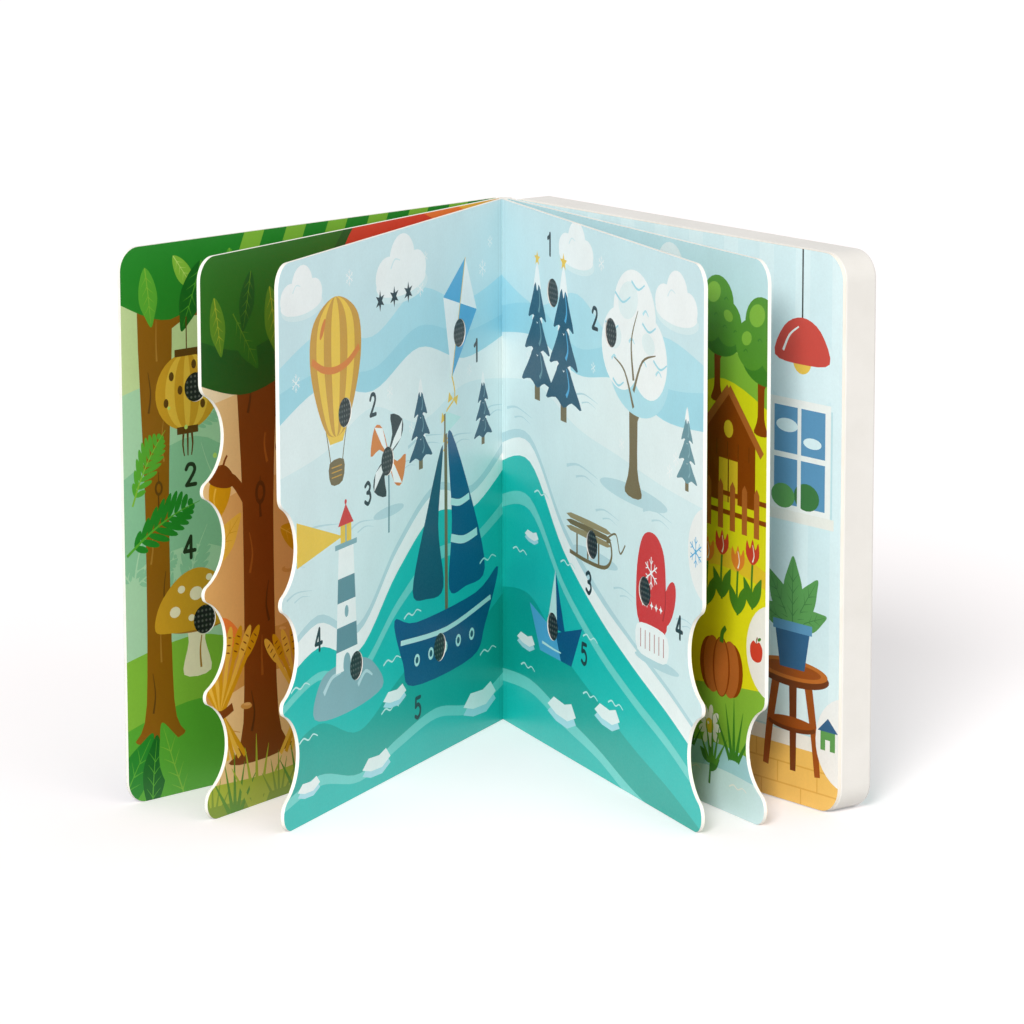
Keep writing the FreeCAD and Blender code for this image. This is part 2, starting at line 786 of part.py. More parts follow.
def sensorTail():
    """The flat film that brings the pads' traces from the spine to the socket."""
    flat = faceBack + tailThick / 2
    entry = circuitFront - socketThick / 2
    start, end = caseWall + tailThick, socketX
    bend = end - tailBendStart
    points = [FreeCAD.Vector(start, flat, socketZ), FreeCAD.Vector(bend, flat, socketZ),
              FreeCAD.Vector(end - tailBendEnd, entry, socketZ),
              FreeCAD.Vector(end, entry, socketZ)]
    half, reach = tailThick / 2, tailHeight / 2
    corners = [FreeCAD.Vector(start, flat + dy, socketZ + dz) for dy, dz in
               ((-half, -reach), (half, -reach), (half, reach), (-half, reach))]
    profile = Part.makePolygon(corners + corners[:1])
    return runPath(points).makePipeShell([profile], True, False)


def speakerLeads():
    """Two wires from the speaker's tag up to the circuit board's front."""
    tagFront = speakerFront - speakerFlangeThick - speakerTagThick
    tagZ = speakerZ + speakerDiameter / 2 - speakerFlange / 2
    low = circuitFront - leadRise
    wires = []
    for side in (-1, 1):
        x = speakerX + side * solderTagWidth
        padX = speakerX + side * leadSpread
        padZ = circuitBottom + standoffInset / 2
        wires.append(lead([
            FreeCAD.Vector(x, tagFront, tagZ),
            FreeCAD.Vector(x, low, tagZ),
            FreeCAD.Vector((x + padX) / 2 + leadDiameter, low, (tagZ + padZ) / 2),
            FreeCAD.Vector(padX, low, padZ),
            FreeCAD.Vector(padX, circuitFront, padZ)]))
    return Part.makeCompound(wires)


def batteryLeads():
    """Two wires from the bay's solder tags to the circuit board's front."""
    tagFront = cellDepth - terminalThick / 2
    firstX, lastX = cellCentre(0), cellCentre(cellCount - 1)
    topZ = bayTop + bayWall + tagReach / 2
    footZ = bayBottom - bayWall - tagReach / 2
    low = circuitFront - leadRise
    outerX = bayRight + bayWall + fittingGap
    padX = circuitLeft + circuitWidth - leadInset
    padZ = circuitBottom + standoffInset / 2
    clearZ = bayTop + bayWall + fittingGap
    if cellCount % 2 == 0:
        footZ = topZ
    short = lead([
        FreeCAD.Vector(firstX, tagFront, topZ),
        FreeCAD.Vector(firstX, low, topZ),
        FreeCAD.Vector((firstX + padX) / 2 - solderTagWidth, low, (topZ + padZ) / 2),
        FreeCAD.Vector(padX - solderTagWidth, low, padZ),
        FreeCAD.Vector(padX - solderTagWidth, circuitFront, padZ)])
    long = lead([
        FreeCAD.Vector(lastX, tagFront, footZ),
        FreeCAD.Vector(lastX, low, footZ),
        FreeCAD.Vector(outerX, low, footZ),
        FreeCAD.Vector(outerX + leadDiameter, low, (bayBottom + bayTop) / 2),
        FreeCAD.Vector(outerX, low, clearZ),
        FreeCAD.Vector(padX + solderTagWidth, low, padZ),
        FreeCAD.Vector(padX + solderTagWidth, circuitFront, padZ)])
    return Part.makeCompound([short, long])


def boardScrews():
    return Part.makeCompound([
        screw(x, z, circuitFront, boardScrewHead, boardScrewHeadThick, boardScrewDiameter,
              boardScrewLength, -1) for x, z in standoffCentres()])


def switchBody():
    """The slide switch's housing, soldered to the back of the circuit board."""
    centreX = switchX + switchTravel / 2
    housing = box(centreX - switchWidth / 2, switchZ - switchHeight / 2, switchWidth,
                  switchHeight, circuitBack, circuitBack + switchThick)
    top = circuitBack + switchThick
    return housing.cut(switchSlot(top - knobGrip - knobPlay, top))


def switchSlider():
    top = circuitBack + switchThick
    knob = box(switchX - knobWidth / 2, switchZ - knobHeight / 2, knobWidth, knobHeight,
               top - knobGrip, blockThick - knobSink)
    grooves = [box(switchX - knobWidth / 2 + knobWidth * share, switchZ - knobHeight / 2,
                   knobWidth * shares["grooveWidth"], knobHeight,
                   blockThick - knobSink - grooveDepth, blockThick - knobSink)
               for share in grooveSpots]
    return knob.cut(grooves)


blockPieces = {
    "module_case": moduleCase,
    "module_face_board": faceBoard,
    "back_board": backBoard,
    "battery_door": batteryDoor,
    "door_screw": doorScrew,
    "battery_cells": batteryCells,
    "battery_springs": batterySprings,
    "battery_terminals": batteryTerminals,
    "battery_leads": batteryLeads,
    "speaker_frame": speakerFrame,
    "speaker_cone": speakerCone,
    "speaker_magnet": speakerMagnet,
    "speaker_leads": speakerLeads,
    "circuit_board": circuitBoard,
    "circuit_parts": circuitParts,
    "ribbon_socket": ribbonSocket,
    "sensor_tail": sensorTail,
    "board_screws": boardScrews,
    "switch_body": switchBody,
    "switch_slider": switchSlider,
}

# Each page's pads: the page, its board's frame, the printed surface and the way in
padPlaces = {
    1: (cover, 0, left),
    2: (leafOne, -boardThick, right),
    3: (leafOne, 0, left),
    4: (leafTwo, -boardThick, right),
    5: (leafTwo, 0, left),
    6: (leafThree, 0, right),
    7: (leafThree, boardThick, left),
    8: (leafFour, 0, right),
    9: (leafFour, boardThick, left),
    10: (block, 0, right),
}


def buildAll():
    """Every piece in the book's frame, with the origin under the middle of the whole."""
    pieces = {"pages": pages(), "spine_strip": spineStrip(), "front_cover": frontCover()}
    for name, make in blockPieces.items():
        pieces[name] = placed(make(), block)
    for page, (frame, surface, inward) in padPlaces.items():
        pieces["touch_pads_page_%d" % page] = placed(touchPads(page, surface, inward), frame)
    whole = FreeCAD.BoundBox()
    for shape in pieces.values():
        whole.add(shape.optimalBoundingBox(False))
    shift = FreeCAD.Vector(-whole.Center.x, -whole.Center.y, 0)
    for shape in pieces.values():
        shape.translate(shift)
    return pieces, shift


pieces, shift = buildAll()
os.makedirs("parts", exist_ok=True)
for name, shape in pieces.items():
    shape.exportStep("parts/%s.step" % name)
print("front cover hinge at", cover.Base + shift)
print("block hinge at", block.Base + shift)
print("pieces", len(pieces))
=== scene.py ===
import math
import random

import bmesh
import bpy
from mathutils import Matrix, Vector
from mathutils.geometry import delaunay_2d_cdt


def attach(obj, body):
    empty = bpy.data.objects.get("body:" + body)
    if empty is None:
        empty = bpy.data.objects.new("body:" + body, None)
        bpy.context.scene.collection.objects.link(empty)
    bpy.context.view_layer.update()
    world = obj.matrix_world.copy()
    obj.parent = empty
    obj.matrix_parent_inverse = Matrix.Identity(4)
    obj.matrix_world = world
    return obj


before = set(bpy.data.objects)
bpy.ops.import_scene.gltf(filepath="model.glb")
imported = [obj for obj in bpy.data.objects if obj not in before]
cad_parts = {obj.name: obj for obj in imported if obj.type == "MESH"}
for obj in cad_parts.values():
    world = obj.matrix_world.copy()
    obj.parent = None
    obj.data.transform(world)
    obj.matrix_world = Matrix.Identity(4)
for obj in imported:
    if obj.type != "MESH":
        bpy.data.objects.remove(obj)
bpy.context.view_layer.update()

# Camera, lights and floor

camera = {"place": (0.002184, -1.81131, 0.45896), "pitch": 11.247, "yaw": 0.111, "roll": -0.131,
          "lens": 175.78, "sensor": 36.0, "reach": 60}
lamps = {
    "key": {"from": (-0.27, -1.0, 0.62), "energy": 2.35, "angle": 18.0},
    "fill": {"from": (0.8, -0.9, 0.5), "energy": 0.55, "angle": 55.0},
}
room = {"world": 0.52, "floorSize": 16.0, "floorDrop": 0.0001, "floorTone": (0.82, 0.82, 0.82),
        "floorSeen": (0.84, 0.8, 0.8), "floorLift": 0.25}


def makeCamera():
    data = bpy.data.cameras.new("viewpoint")
    data.sensor_width = camera["sensor"]
    data.lens = camera["lens"]
    data.clip_end = camera["reach"]
    pitch, yaw, roll = (math.radians(camera[k]) for k in ("pitch", "yaw", "roll"))
    forward = Vector((math.sin(yaw) * math.cos(pitch), math.cos(yaw) * math.cos(pitch),
                      -math.sin(pitch)))
    right = forward.cross(Vector((0, 0, 1))).normalized()
    upward = right.cross(forward)
    tilted = right * math.cos(roll) + upward * math.sin(roll)
    upright = tilted.cross(forward)
    turn = Matrix((tilted, upright, -forward)).transposed().to_4x4()
    holder = bpy.data.objects.new("viewpoint", data)
    holder.matrix_world = Matrix.Translation(camera["place"]) @ turn
    bpy.context.scene.collection.objects.link(holder)
    bpy.context.scene.camera = holder


def makeLamps():
    for name, lamp in lamps.items():
        data = bpy.data.lights.new(name, "SUN")
        data.energy = lamp["energy"]
        data.angle = math.radians(lamp["angle"])
        holder = bpy.data.objects.new(name, data)
        holder.rotation_euler = Vector(lamp["from"]).to_track_quat("Z", "Y").to_euler()
        bpy.context.scene.collection.objects.link(holder)


def seenRays(nodes, links):
    # 1 for rays that see the background straight, in a mirror or through glass
    path = nodes.new("ShaderNodeLightPath")
    first = nodes.new("ShaderNodeMath")
    first.operation = "MAXIMUM"
    second = nodes.new("ShaderNodeMath")
    second.operation = "MAXIMUM"
    links.new(path.outputs["Is Camera Ray"], first.inputs[0])
    links.new(path.outputs["Is Glossy Ray"], first.inputs[1])
    links.new(first.outputs[0], second.inputs[0])
    links.new(path.outputs["Is Transmission Ray"], second.inputs[1])
    return second.outputs[0]


def makeWorld():
    world = bpy.data.worlds.new("studio")
    bpy.context.scene.world = world
    world.use_nodes = True
    nodes, links = world.node_tree.nodes, world.node_tree.links
    nodes.clear()
    light = nodes.new("ShaderNodeBackground")
    light.inputs["Color"].default_value = (1, 1, 1, 1)
    light.inputs["Strength"].default_value = room["world"]
    white = nodes.new("ShaderNodeBackground")
    white.inputs["Color"].default_value = (1, 1, 1, 1)
    white.inputs["Strength"].default_value = 1.0
    mix = nodes.new("ShaderNodeMixShader")
    out = nodes.new("ShaderNodeOutputWorld")
    links.new(seenRays(nodes, links), mix.inputs["Fac"])
    links.new(light.outputs[0], mix.inputs[1])
    links.new(white.outputs[0], mix.inputs[2])
    links.new(mix.outputs[0], out.inputs["Surface"])


def makeFloor():
    mesh = bmesh.new()
    bmesh.ops.create_grid(mesh, x_segments=1, y_segments=1, size=room["floorSize"] / 2)
    bmesh.ops.translate(mesh, verts=mesh.verts, vec=(0, 0, -room["floorDrop"]))
    data = bpy.data.meshes.new("floor")
    mesh.to_mesh(data)
    mesh.free()
    floor = bpy.data.objects.new("floor", data)
    bpy.context.scene.collection.objects.link(floor)
    material = bpy.data.materials.new("paleFloor")
    material.use_nodes = True
    nodes, links = material.node_tree.nodes, material.node_tree.links
    nodes.clear()
    plain = nodes.new("ShaderNodeBsdfDiffuse")
    plain.inputs["Color"].default_value = (*room["floorTone"], 1)
    bright = nodes.new("ShaderNodeBsdfDiffuse")
    bright.inputs["Color"].default_value = (*room["floorSeen"], 1)
    glow = nodes.new("ShaderNodeEmission")
    glow.inputs["Color"].default_value = (1, 1, 1, 1)
    glow.inputs["Strength"].default_value = room["floorLift"]
    seen = nodes.new("ShaderNodeAddShader")
    mix = nodes.new("ShaderNodeMixShader")
    out = nodes.new("ShaderNodeOutputMaterial")
    links.new(bright.outputs[0], seen.inputs[0])
    links.new(glow.outputs[0], seen.inputs[1])
    links.new(seenRays(nodes, links), mix.inputs["Fac"])
    links.new(plain.outputs[0], mix.inputs[1])
    links.new(seen.outputs[0], mix.inputs[2])
    links.new(mix.outputs[0], out.inputs["Surface"])
    data.materials.append(material)


bpy.context.scene.view_settings.view_transform = "Standard"
makeCamera()
makeLamps()
makeWorld()
makeFloor()
print("stage: camera, lamps, world and floor")


# Finishes

def ink(code):
    # a "#RRGGBB" code as Blender's linear colour
    parts = [int(code[k:k + 2], 16) / 255 for k in (1, 3, 5)]
    return [c / 12.92 if c <= 0.04045 else ((c + 0.055) / 1.055) ** 2.4 for c in parts] + [1.0]


def newMaterial(name):
    material = bpy.data.materials.new(name)
    material.use_nodes = True
    nodes, links = material.node_tree.nodes, material.node_tree.links
    return material, nodes, links, nodes["Principled BSDF"]


def noiseOn(nodes, links, scale, detail=4.0, stretch=(1, 1, 1), turn=0.0):
    # noise in the piece's own metres, so a scale of 1000 is about a millimetre
    place = nodes.new("ShaderNodeTexCoord")
    mapping = nodes.new("ShaderNodeMapping")
    mapping.inputs["Scale"].default_value = stretch
    mapping.inputs["Rotation"].default_value = (0, 0, turn)
    noise = nodes.new("ShaderNodeTexNoise")
    noise.inputs["Scale"].default_value = scale
    noise.inputs["Detail"].default_value = detail
    noise.inputs["Roughness"].default_value = 0.6
    links.new(place.outputs["Object"], mapping.inputs["Vector"])
    links.new(mapping.outputs[0], noise.inputs["Vector"])
    return noise.outputs["Fac"]


def ranged(nodes, links, source, low, high, fromLow=0.3, fromHigh=0.7):
    spread = nodes.new("ShaderNodeMapRange")
    spread.inputs["From Min"].default_value = fromLow
    spread.inputs["From Max"].default_value = fromHigh
    spread.inputs["To Min"].default_value = low
    spread.inputs["To Max"].default_value = high
    links.new(source, spread.inputs["Value"])
    return spread.outputs[0]


def bumpOn(nodes, links, shader, height, strength, distance):
    bump = nodes.new("ShaderNodeBump")
    bump.inputs["Strength"].default_value = strength
    bump.inputs["Distance"].default_value = distance
    links.new(height, bump.inputs["Height"])
    links.new(bump.outputs[0], shader.inputs["Normal"])


def mixColours(nodes, links, share, first, second, blend="MIX"):
    mix = nodes.new("ShaderNodeMix")
    mix.data_type = "RGBA"
    mix.blend_type = blend
    for socket, value in ((mix.inputs[0], share), (mix.inputs[6], first), (mix.inputs[7], second)):
        if isinstance(value, (float, int, list, tuple)):
            socket.default_value = value
        else:
            links.new(value, socket)
    return mix.outputs[2]


def makeFinish(name, look):
    # two close colours by noise, roughness by a finer noise and a fine bump
    material, nodes, links, shader = newMaterial(name)
    stretch = look.get("stretch", (1, 1, 1))
    broad = noiseOn(nodes, links, look["scale"], 5.0, stretch)
    fine = noiseOn(nodes, links, look["grain"], 3.0, stretch)
    share = ranged(nodes, links, broad, 0.0, 1.0)
    colour = mixColours(nodes, links, share, ink(look["low"]), ink(look["high"]))
    if "specks" in look:
        spots = ranged(nodes, links, fine, 0.0, look["specks"][1], 0.62, 0.72)
        colour = mixColours(nodes, links, spots, colour, ink(look["specks"][0]))
    links.new(colour, shader.inputs["Base Color"])
    links.new(ranged(nodes, links, fine, *look["rough"]), shader.inputs["Roughness"])
    shader.inputs["Metallic"].default_value = look.get("metal", 0.0)
    shader.inputs["Coat Weight"].default_value = look.get("coat", 0.0)
    shader.inputs["Coat Roughness"].default_value = 0.2
    bumpOn(nodes, links, shader, fine, look["bump"], look.get("depth", 0.0001))
    return material


looks = {
    "boardCore": {"low": "#E9E5DC", "high": "#F2EFE7", "scale": 60, "grain": 2600,
                  "stretch": (1, 1, 3), "rough": (0.62, 0.8), "bump": 0.25,
                  "specks": ("#D8D2C6", 0.5)},
    "faceCore": {"low": "#E9DFD0", "high": "#F2ECE1", "scale": 60, "grain": 2600,
                 "rough": (0.62, 0.8), "bump": 0.25},
    "casePlastic": {"low": "#D8D4CD", "high": "#E0DCD6", "scale": 35, "grain": 3200,
                    "rough": (0.34, 0.44), "bump": 0.12},
    "doorPlastic": {"low": "#D4D0CA", "high": "#DDD9D3", "scale": 45, "grain": 2400,
                    "rough": (0.4, 0.52), "bump": 0.2},
    "spineCard": {"low": "#E4E1DA", "high": "#F0EEE9", "scale": 50, "grain": 1800,
                  "stretch": (1, 1, 0.3), "rough": (0.6, 0.75), "bump": 0.3},
    "knobPlastic": {"low": "#1E2022", "high": "#2B2E31", "scale": 300, "grain": 4200,
                    "rough": (0.38, 0.5), "bump": 0.25},
    "cellWrap": {"low": "#20303C", "high": "#2C4150", "scale": 60, "grain": 900,
                 "stretch": (1, 1, 0.2), "rough": (0.25, 0.36), "bump": 0.08, "coat": 0.4},
    "nickel": {"low": "#B9B6AE", "high": "#D2D0C9", "scale": 220, "grain": 3000,
               "rough": (0.22, 0.36), "bump": 0.12, "metal": 1.0},
    "zinc": {"low": "#9EA3A8", "high": "#BFC3C6", "scale": 180, "grain": 2600,
             "rough": (0.3, 0.48), "bump": 0.15, "metal": 1.0},
    "conePaper": {"low": "#1B1B1C", "high": "#2E2D2B", "scale": 500, "grain": 3600,
                  "rough": (0.7, 0.9), "bump": 0.5},
    "ferrite": {"low": "#2B2C2E", "high": "#3B3D40", "scale": 260, "grain": 3000,
                "rough": (0.45, 0.62), "bump": 0.2},
    "laminate": {"low": "#0E4A2A", "high": "#17603A", "scale": 240, "grain": 2200,
                 "stretch": (1, 1, 4), "rough": (0.28, 0.42), "bump": 0.2,
                 "specks": ("#C9A44C", 0.8)},
    "chipBlack": {"low": "#141516", "high": "#222426", "scale": 300, "grain": 3400,
                  "rough": (0.32, 0.5), "bump": 0.2},
    "socketPlastic": {"low": "#E2DCCB", "high": "#EDE8DA", "scale": 160, "grain": 2400,
                      "rough": (0.4, 0.52), "bump": 0.15},
    "sensorFilm": {"low": "#A7794A", "high": "#C39763", "scale": 90, "grain": 1200,
                   "stretch": (1, 1, 12), "rough": (0.22, 0.34), "bump": 0.1},
    "wireSleeve": {"low": "#A01E1E", "high": "#B82A26", "scale": 120, "grain": 2600,
                   "rough": (0.38, 0.5), "bump": 0.1},
    "screwSteel": {"low": "#8E9196", "high": "#B3B5B8", "scale": 260, "grain": 3200,
                   "rough": (0.26, 0.42), "bump": 0.15, "metal": 1.0},
}

nodeLooks = {
    "pages": "boardCore", "front_cover": "boardCore", "spine_strip": "spineCard",
    "module_face_board": "faceCore", "module_case": "casePlastic", "back_board": "boardCore",
    "battery_door": "doorPlastic", "door_screw": "screwSteel", "battery_cells": "cellWrap",
    "battery_springs": "nickel", "battery_terminals": "nickel", "battery_leads": "wireSleeve",
    "speaker_frame": "zinc", "speaker_cone": "conePaper", "speaker_magnet": "ferrite",
    "speaker_leads": "wireSleeve", "circuit_board": "laminate", "circuit_parts": "chipBlack",
    "ribbon_socket": "socketPlastic", "sensor_tail": "sensorFilm", "board_screws": "screwSteel",
    "switch_body": "zinc", "switch_slider": "knobPlastic",
}


printLook = {
    "wash": (0.96, 1.02), "washScale": 55, "washStretch": (1, 1, 0.7), "grain": (0.975, 1.02),
    "grainScale": 900, "fineScale": 1500, "rough": (0.36, 0.5), "coat": 0.12, "coatRough": 0.25,
    "bump": 0.1, "depth": 0.00005,
}


def makePrintFinish():
    # laminated printed paper: the ink attribute, a little brush texture and a satin film
    material, nodes, links, shader = newMaterial("laminatedPrint")
    colour = nodes.new("ShaderNodeAttribute")
    colour.attribute_name = "ink"
    look = printLook
    broad = noiseOn(nodes, links, look["washScale"], 6.0, look["washStretch"])
    wash = ranged(nodes, links, broad, *look["wash"])
    grain = ranged(nodes, links, noiseOn(nodes, links, look["grainScale"]), *look["grain"])
    tone = nodes.new("ShaderNodeMath")
    tone.operation = "MULTIPLY"
    links.new(wash, tone.inputs[0])
    links.new(grain, tone.inputs[1])
    grey = nodes.new("ShaderNodeCombineColor")
    for k in range(3):
        links.new(tone.outputs[0], grey.inputs[k])
    shade = mixColours(nodes, links, 1.0, colour.outputs["Color"], grey.outputs[0], "MULTIPLY")
    links.new(shade, shader.inputs["Base Color"])
    fine = noiseOn(nodes, links, look["fineScale"], 3.0)
    links.new(ranged(nodes, links, fine, *look["rough"]), shader.inputs["Roughness"])
    shader.inputs["Coat Weight"].default_value = look["coat"]
    shader.inputs["Coat Roughness"].default_value = look["coatRough"]
    bumpOn(nodes, links, shader, fine, look["bump"], look["depth"])
    return material


padLook = {"film": "#17191B", "dots": "#62635F", "pitch": 0.0019, "dot": 0.2, "soft": 0.1,
           "fineScale": 2400, "rough": (0.3, 0.46), "bump": 0.3, "depth": 0.00005}


def makePadFinish(name, turn):
    # black sensor film under a printed grid of fine dots, squared to its own board
    material, nodes, links, shader = newMaterial(name)
    place = nodes.new("ShaderNodeTexCoord")
    flat = nodes.new("ShaderNodeMapping")
    flat.inputs["Rotation"].default_value = (0, 0, -turn)
    links.new(place.outputs["Object"], flat.inputs["Vector"])
    split = nodes.new("ShaderNodeSeparateXYZ")
    links.new(flat.outputs[0], split.inputs[0])
    joined = nodes.new("ShaderNodeCombineXYZ")
    links.new(split.outputs["X"], joined.inputs["X"])
    links.new(split.outputs["Z"], joined.inputs["Y"])
    cells = nodes.new("ShaderNodeTexVoronoi")
    cells.voronoi_dimensions = "2D"
    cells.inputs["Scale"].default_value = 1 / padLook["pitch"]
    cells.inputs["Randomness"].default_value = 0.0
    links.new(joined.outputs[0], cells.inputs["Vector"])
    dots = ranged(nodes, links, cells.outputs["Distance"], 1.0, 0.0, padLook["dot"],
                  padLook["dot"] + padLook["soft"])
    colour = mixColours(nodes, links, dots, ink(padLook["film"]), ink(padLook["dots"]))
    links.new(colour, shader.inputs["Base Color"])
    fine = noiseOn(nodes, links, padLook["fineScale"], 3.0)
    links.new(ranged(nodes, links, fine, *padLook["rough"]), shader.inputs["Roughness"])
    bumpOn(nodes, links, shader, dots, padLook["bump"], padLook["depth"])
    return material


def dressNodes():
    made = {name: makeFinish(name, look) for name, look in looks.items()}
    for node, name in nodeLooks.items():
        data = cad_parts[node].data
        data.materials.clear()
        data.materials.append(made[name])


dressNodes()
laminatedPrint = makePrintFinish()
print("stage: finishes on the CAD nodes")


# Boards: each has its root, its turn and the way that its length and thickness run

boardThick = 0.0014
caseDepth = 0.016


def board(root, turn):
    angle = math.radians(turn)
    return {"root": Vector(root), "turn": angle,
            "along": Vector((math.cos(angle), math.sin(angle), 0)),
            "across": Vector((-math.sin(angle), math.cos(angle), 0))}


def rootOn(other, along, across):
    return other["root"] + other["along"] * along + other["across"] * across


leafTwo = board((0.002184, 0.083281, 0), 245.8)
leafOne = board(rootOn(leafTwo, -0.0021, -0.0017), 236.3)
coverBoard = board(rootOn(leafOne, 0, -0.00175), 225.2)
leafThree = board((0.002184, 0.083281, 0), -68.3)
leafFour = board(rootOn(leafThree, 0, 0.0025), -61.5)
blockBoard = board(rootOn(leafFour, 0.0016, 0.0029), -52.8)


def dressPads():
    turns = {1: coverBoard, 2: leafOne, 3: leafOne, 4: leafTwo, 5: leafTwo, 6: leafThree,
             7: leafThree, 8: leafFour, 9: leafFour, 10: blockBoard}
    for page, base in turns.items():
        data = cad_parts["touch_pads_page_%d" % page].data
        data.materials.clear()
        data.materials.append(makePadFinish("touchPad%d" % page, base["turn"]))


dressPads()
print("stage: touch pads")


# Drawing: shapes are (colour, outline) in millimetres on a page as its reader sees it,
# x from its left edge and z from its foot. Later shapes lie over earlier ones.

pageWide, pageHigh = 190.0, 204.0
bleed = 5  # how far the land and the sky run past the page
overhead = 240


def turnedTo(points, x, z, angle=0.0, size=1.0):
    c, s = math.cos(math.radians(angle)) * size, math.sin(math.radians(angle)) * size
    return [(x + px * c - pz * s, z + px * s + pz * c) for px, pz in points]


def oval(x, z, wide, high=0.0, angle=0.0):
    high = high or wide
    count = max(12, min(44, int(9 + max(wide, high) * 0.8)))
    ring = [(wide / 2 * math.cos(math.tau * k / count), high / 2 * math.sin(math.tau * k / count))
            for k in range(count)]
    return turnedTo(ring, x, z, angle)


def smooth(points, closed=True, steps=5):
    # a curve through the points
    count = len(points)
    out = []
    for k in range(count if closed else count - 1):
        if closed:
            near = [points[(k + j - 1) % count] for j in range(4)]
        else:
            near = [points[min(max(k + j - 1, 0), count - 1)] for j in range(4)]
        for step in range(steps):
            t = step / steps
            out.append(tuple(0.5 * (2 * b + (c - a) * t + (2 * a - 5 * b + 4 * c - d) * t * t
                                    + (3 * b - a - 3 * c + d) * t ** 3)
                             for a, b, c, d in zip(*near)))
    if not closed:
        out.append(tuple(points[-1]))
    return out


def stroke(points, width, taper=0.0, steps=5):
    # a ribbon along a curve, drawn in to its end by the taper
    line = smooth(points, False, steps)
    last = len(line) - 1
    upper, lower = [], []
    for k, (px, pz) in enumerate(line):
        ax, az = line[max(k - 1, 0)]
        bx, bz = line[min(k + 1, last)]
        run = math.hypot(bx - ax, bz - az) or 1.0
        half = width / 2 * (1 - taper * k / last)
        nx, nz = -(bz - az) / run * half, (bx - ax) / run * half
        upper.append((px + nx, pz + nz))
        lower.append((px - nx, pz - nz))
    return upper + lower[::-1]


def panel(x, z, wide, high):
    # a rectangle from its lower left corner
    return [(x, z), (x + wide, z), (x + wide, z + high), (x, z + high)]


def band(*heights):
    # the land or water under a wavy line that crosses the page
    last = len(heights) - 1
    top = [(-bleed + (pageWide + 2 * bleed) * k / last, h) for k, h in enumerate(heights)]
    return smooth(top, False, 7) + [(pageWide + bleed, -bleed), (-bleed, -bleed)]


def ceiling(*heights):
    # what hangs from the page's head down to a wavy line
    last = len(heights) - 1
    foot = [(-bleed + (pageWide + 2 * bleed) * k / last, h) for k, h in enumerate(heights)]
    return smooth(foot, False, 7) + [(pageWide + bleed, overhead), (-bleed, overhead)]


class Pen:
    # draws one motif: all its measures are shares of the size, from the motif's place
    def __init__(self, x, z, size):
        self.x, self.z, self.size = x, z, size

    def shape(self, points):
        return [(self.x + a * self.size, self.z + b * self.size) for a, b in points]

    def blob(self, points, steps):
        return smooth(self.shape(points), True, steps)

    def stroke(self, points, width, taper=0.0, steps=5):
        return stroke(self.shape(points), width * self.size, taper, steps)

    def oval(self, dx, dz, wide, high=0.0, angle=0.0):
        return oval(self.x + dx * self.size, self.z + dz * self.size, wide * self.size,
                    high * self.size, angle)

    def panel(self, dx, dz, wide, high):
        return panel(self.x + dx * self.size, self.z + dz * self.size, wide * self.size,
                     high * self.size)

    def turned(self, points, angle):
        return turnedTo(points, self.x, self.z, angle, self.size)


def cloud(x, z, s, main, shade):
    pen = Pen(x, z, s)
    return [
        (shade, pen.oval(0.03, -0.1, 0.98, 0.26)), (main, pen.oval(-0.26, 0.02, 0.46, 0.34)),
        (main, pen.oval(0.02, 0.12, 0.5, 0.46)), (main, pen.oval(0.28, 0.02, 0.42, 0.32)),
        (main, pen.oval(0, -0.05, 0.96, 0.24)),
        (shade, pen.stroke([(-0.2, 0.08), (-0.12, 0.15), (-0.02, 0.13)], 0.02, 0.6))]


def pine(x, z, s, leaf, light, snow, trunk):
    pen = Pen(x, z, s)
    art = [(trunk, pen.panel(-0.05, 0, 0.1, 0.2))]
    for wide, low, top in ((0.6, 0.12, 0.56), (0.48, 0.36, 0.8), (0.34, 0.6, 1.0)):
        half = wide * s / 2
        foot, tip = z + low * s, z + top * s
        art.append((leaf, smooth([
            (x - half, foot), (x - half * 0.45, foot + 0.02 * s), (x, foot - 0.03 * s),
            (x + half * 0.45, foot + 0.02 * s), (x + half, foot), (x + half * 0.4, foot + 0.2 * s),
            (x, tip), (x - half * 0.4, foot + 0.2 * s)], True, 3)))
        art.append((light, stroke([
            (x + half * 0.15, foot + 0.05 * s), (x + half * 0.3, foot + 0.12 * s),
            (x + half * 0.15, foot + 0.24 * s)], 0.03 * s, 0.8)))
        art.append((snow, smooth([
            (x, tip + 0.01 * s), (x + half * 0.42, foot + 0.22 * s),
            (x + half * 0.16, foot + 0.25 * s), (x, foot + 0.2 * s),
            (x - half * 0.18, foot + 0.26 * s), (x - half * 0.42, foot + 0.22 * s)], True, 3)))
    return art


def leafBlade(x, z, s, angle, main, vein):
    pen = Pen(x, z, s)
    blade = smooth([
        (0, 0), (0.22, 0.15), (0.55, 0.2), (0.85, 0.09), (1, 0), (0.85, -0.09), (0.55, -0.2),
        (0.22, -0.15)], True, 4)
    art = [
        (main, pen.turned(blade, angle)),
        (vein, pen.turned(stroke([(0, 0), (0.5, 0.01), (0.93, 0)], 0.022, 0.8), angle))]
    for k in range(1, 5):
        at = 0.16 * k
        for side in (1, -1):
            rib = stroke(
                [(at, 0), (at + 0.06, 0.05 * side), (at + 0.13, 0.12 * side)], 0.014, 0.8, 2)
            art.append((vein, pen.turned(rib, angle)))
    return art


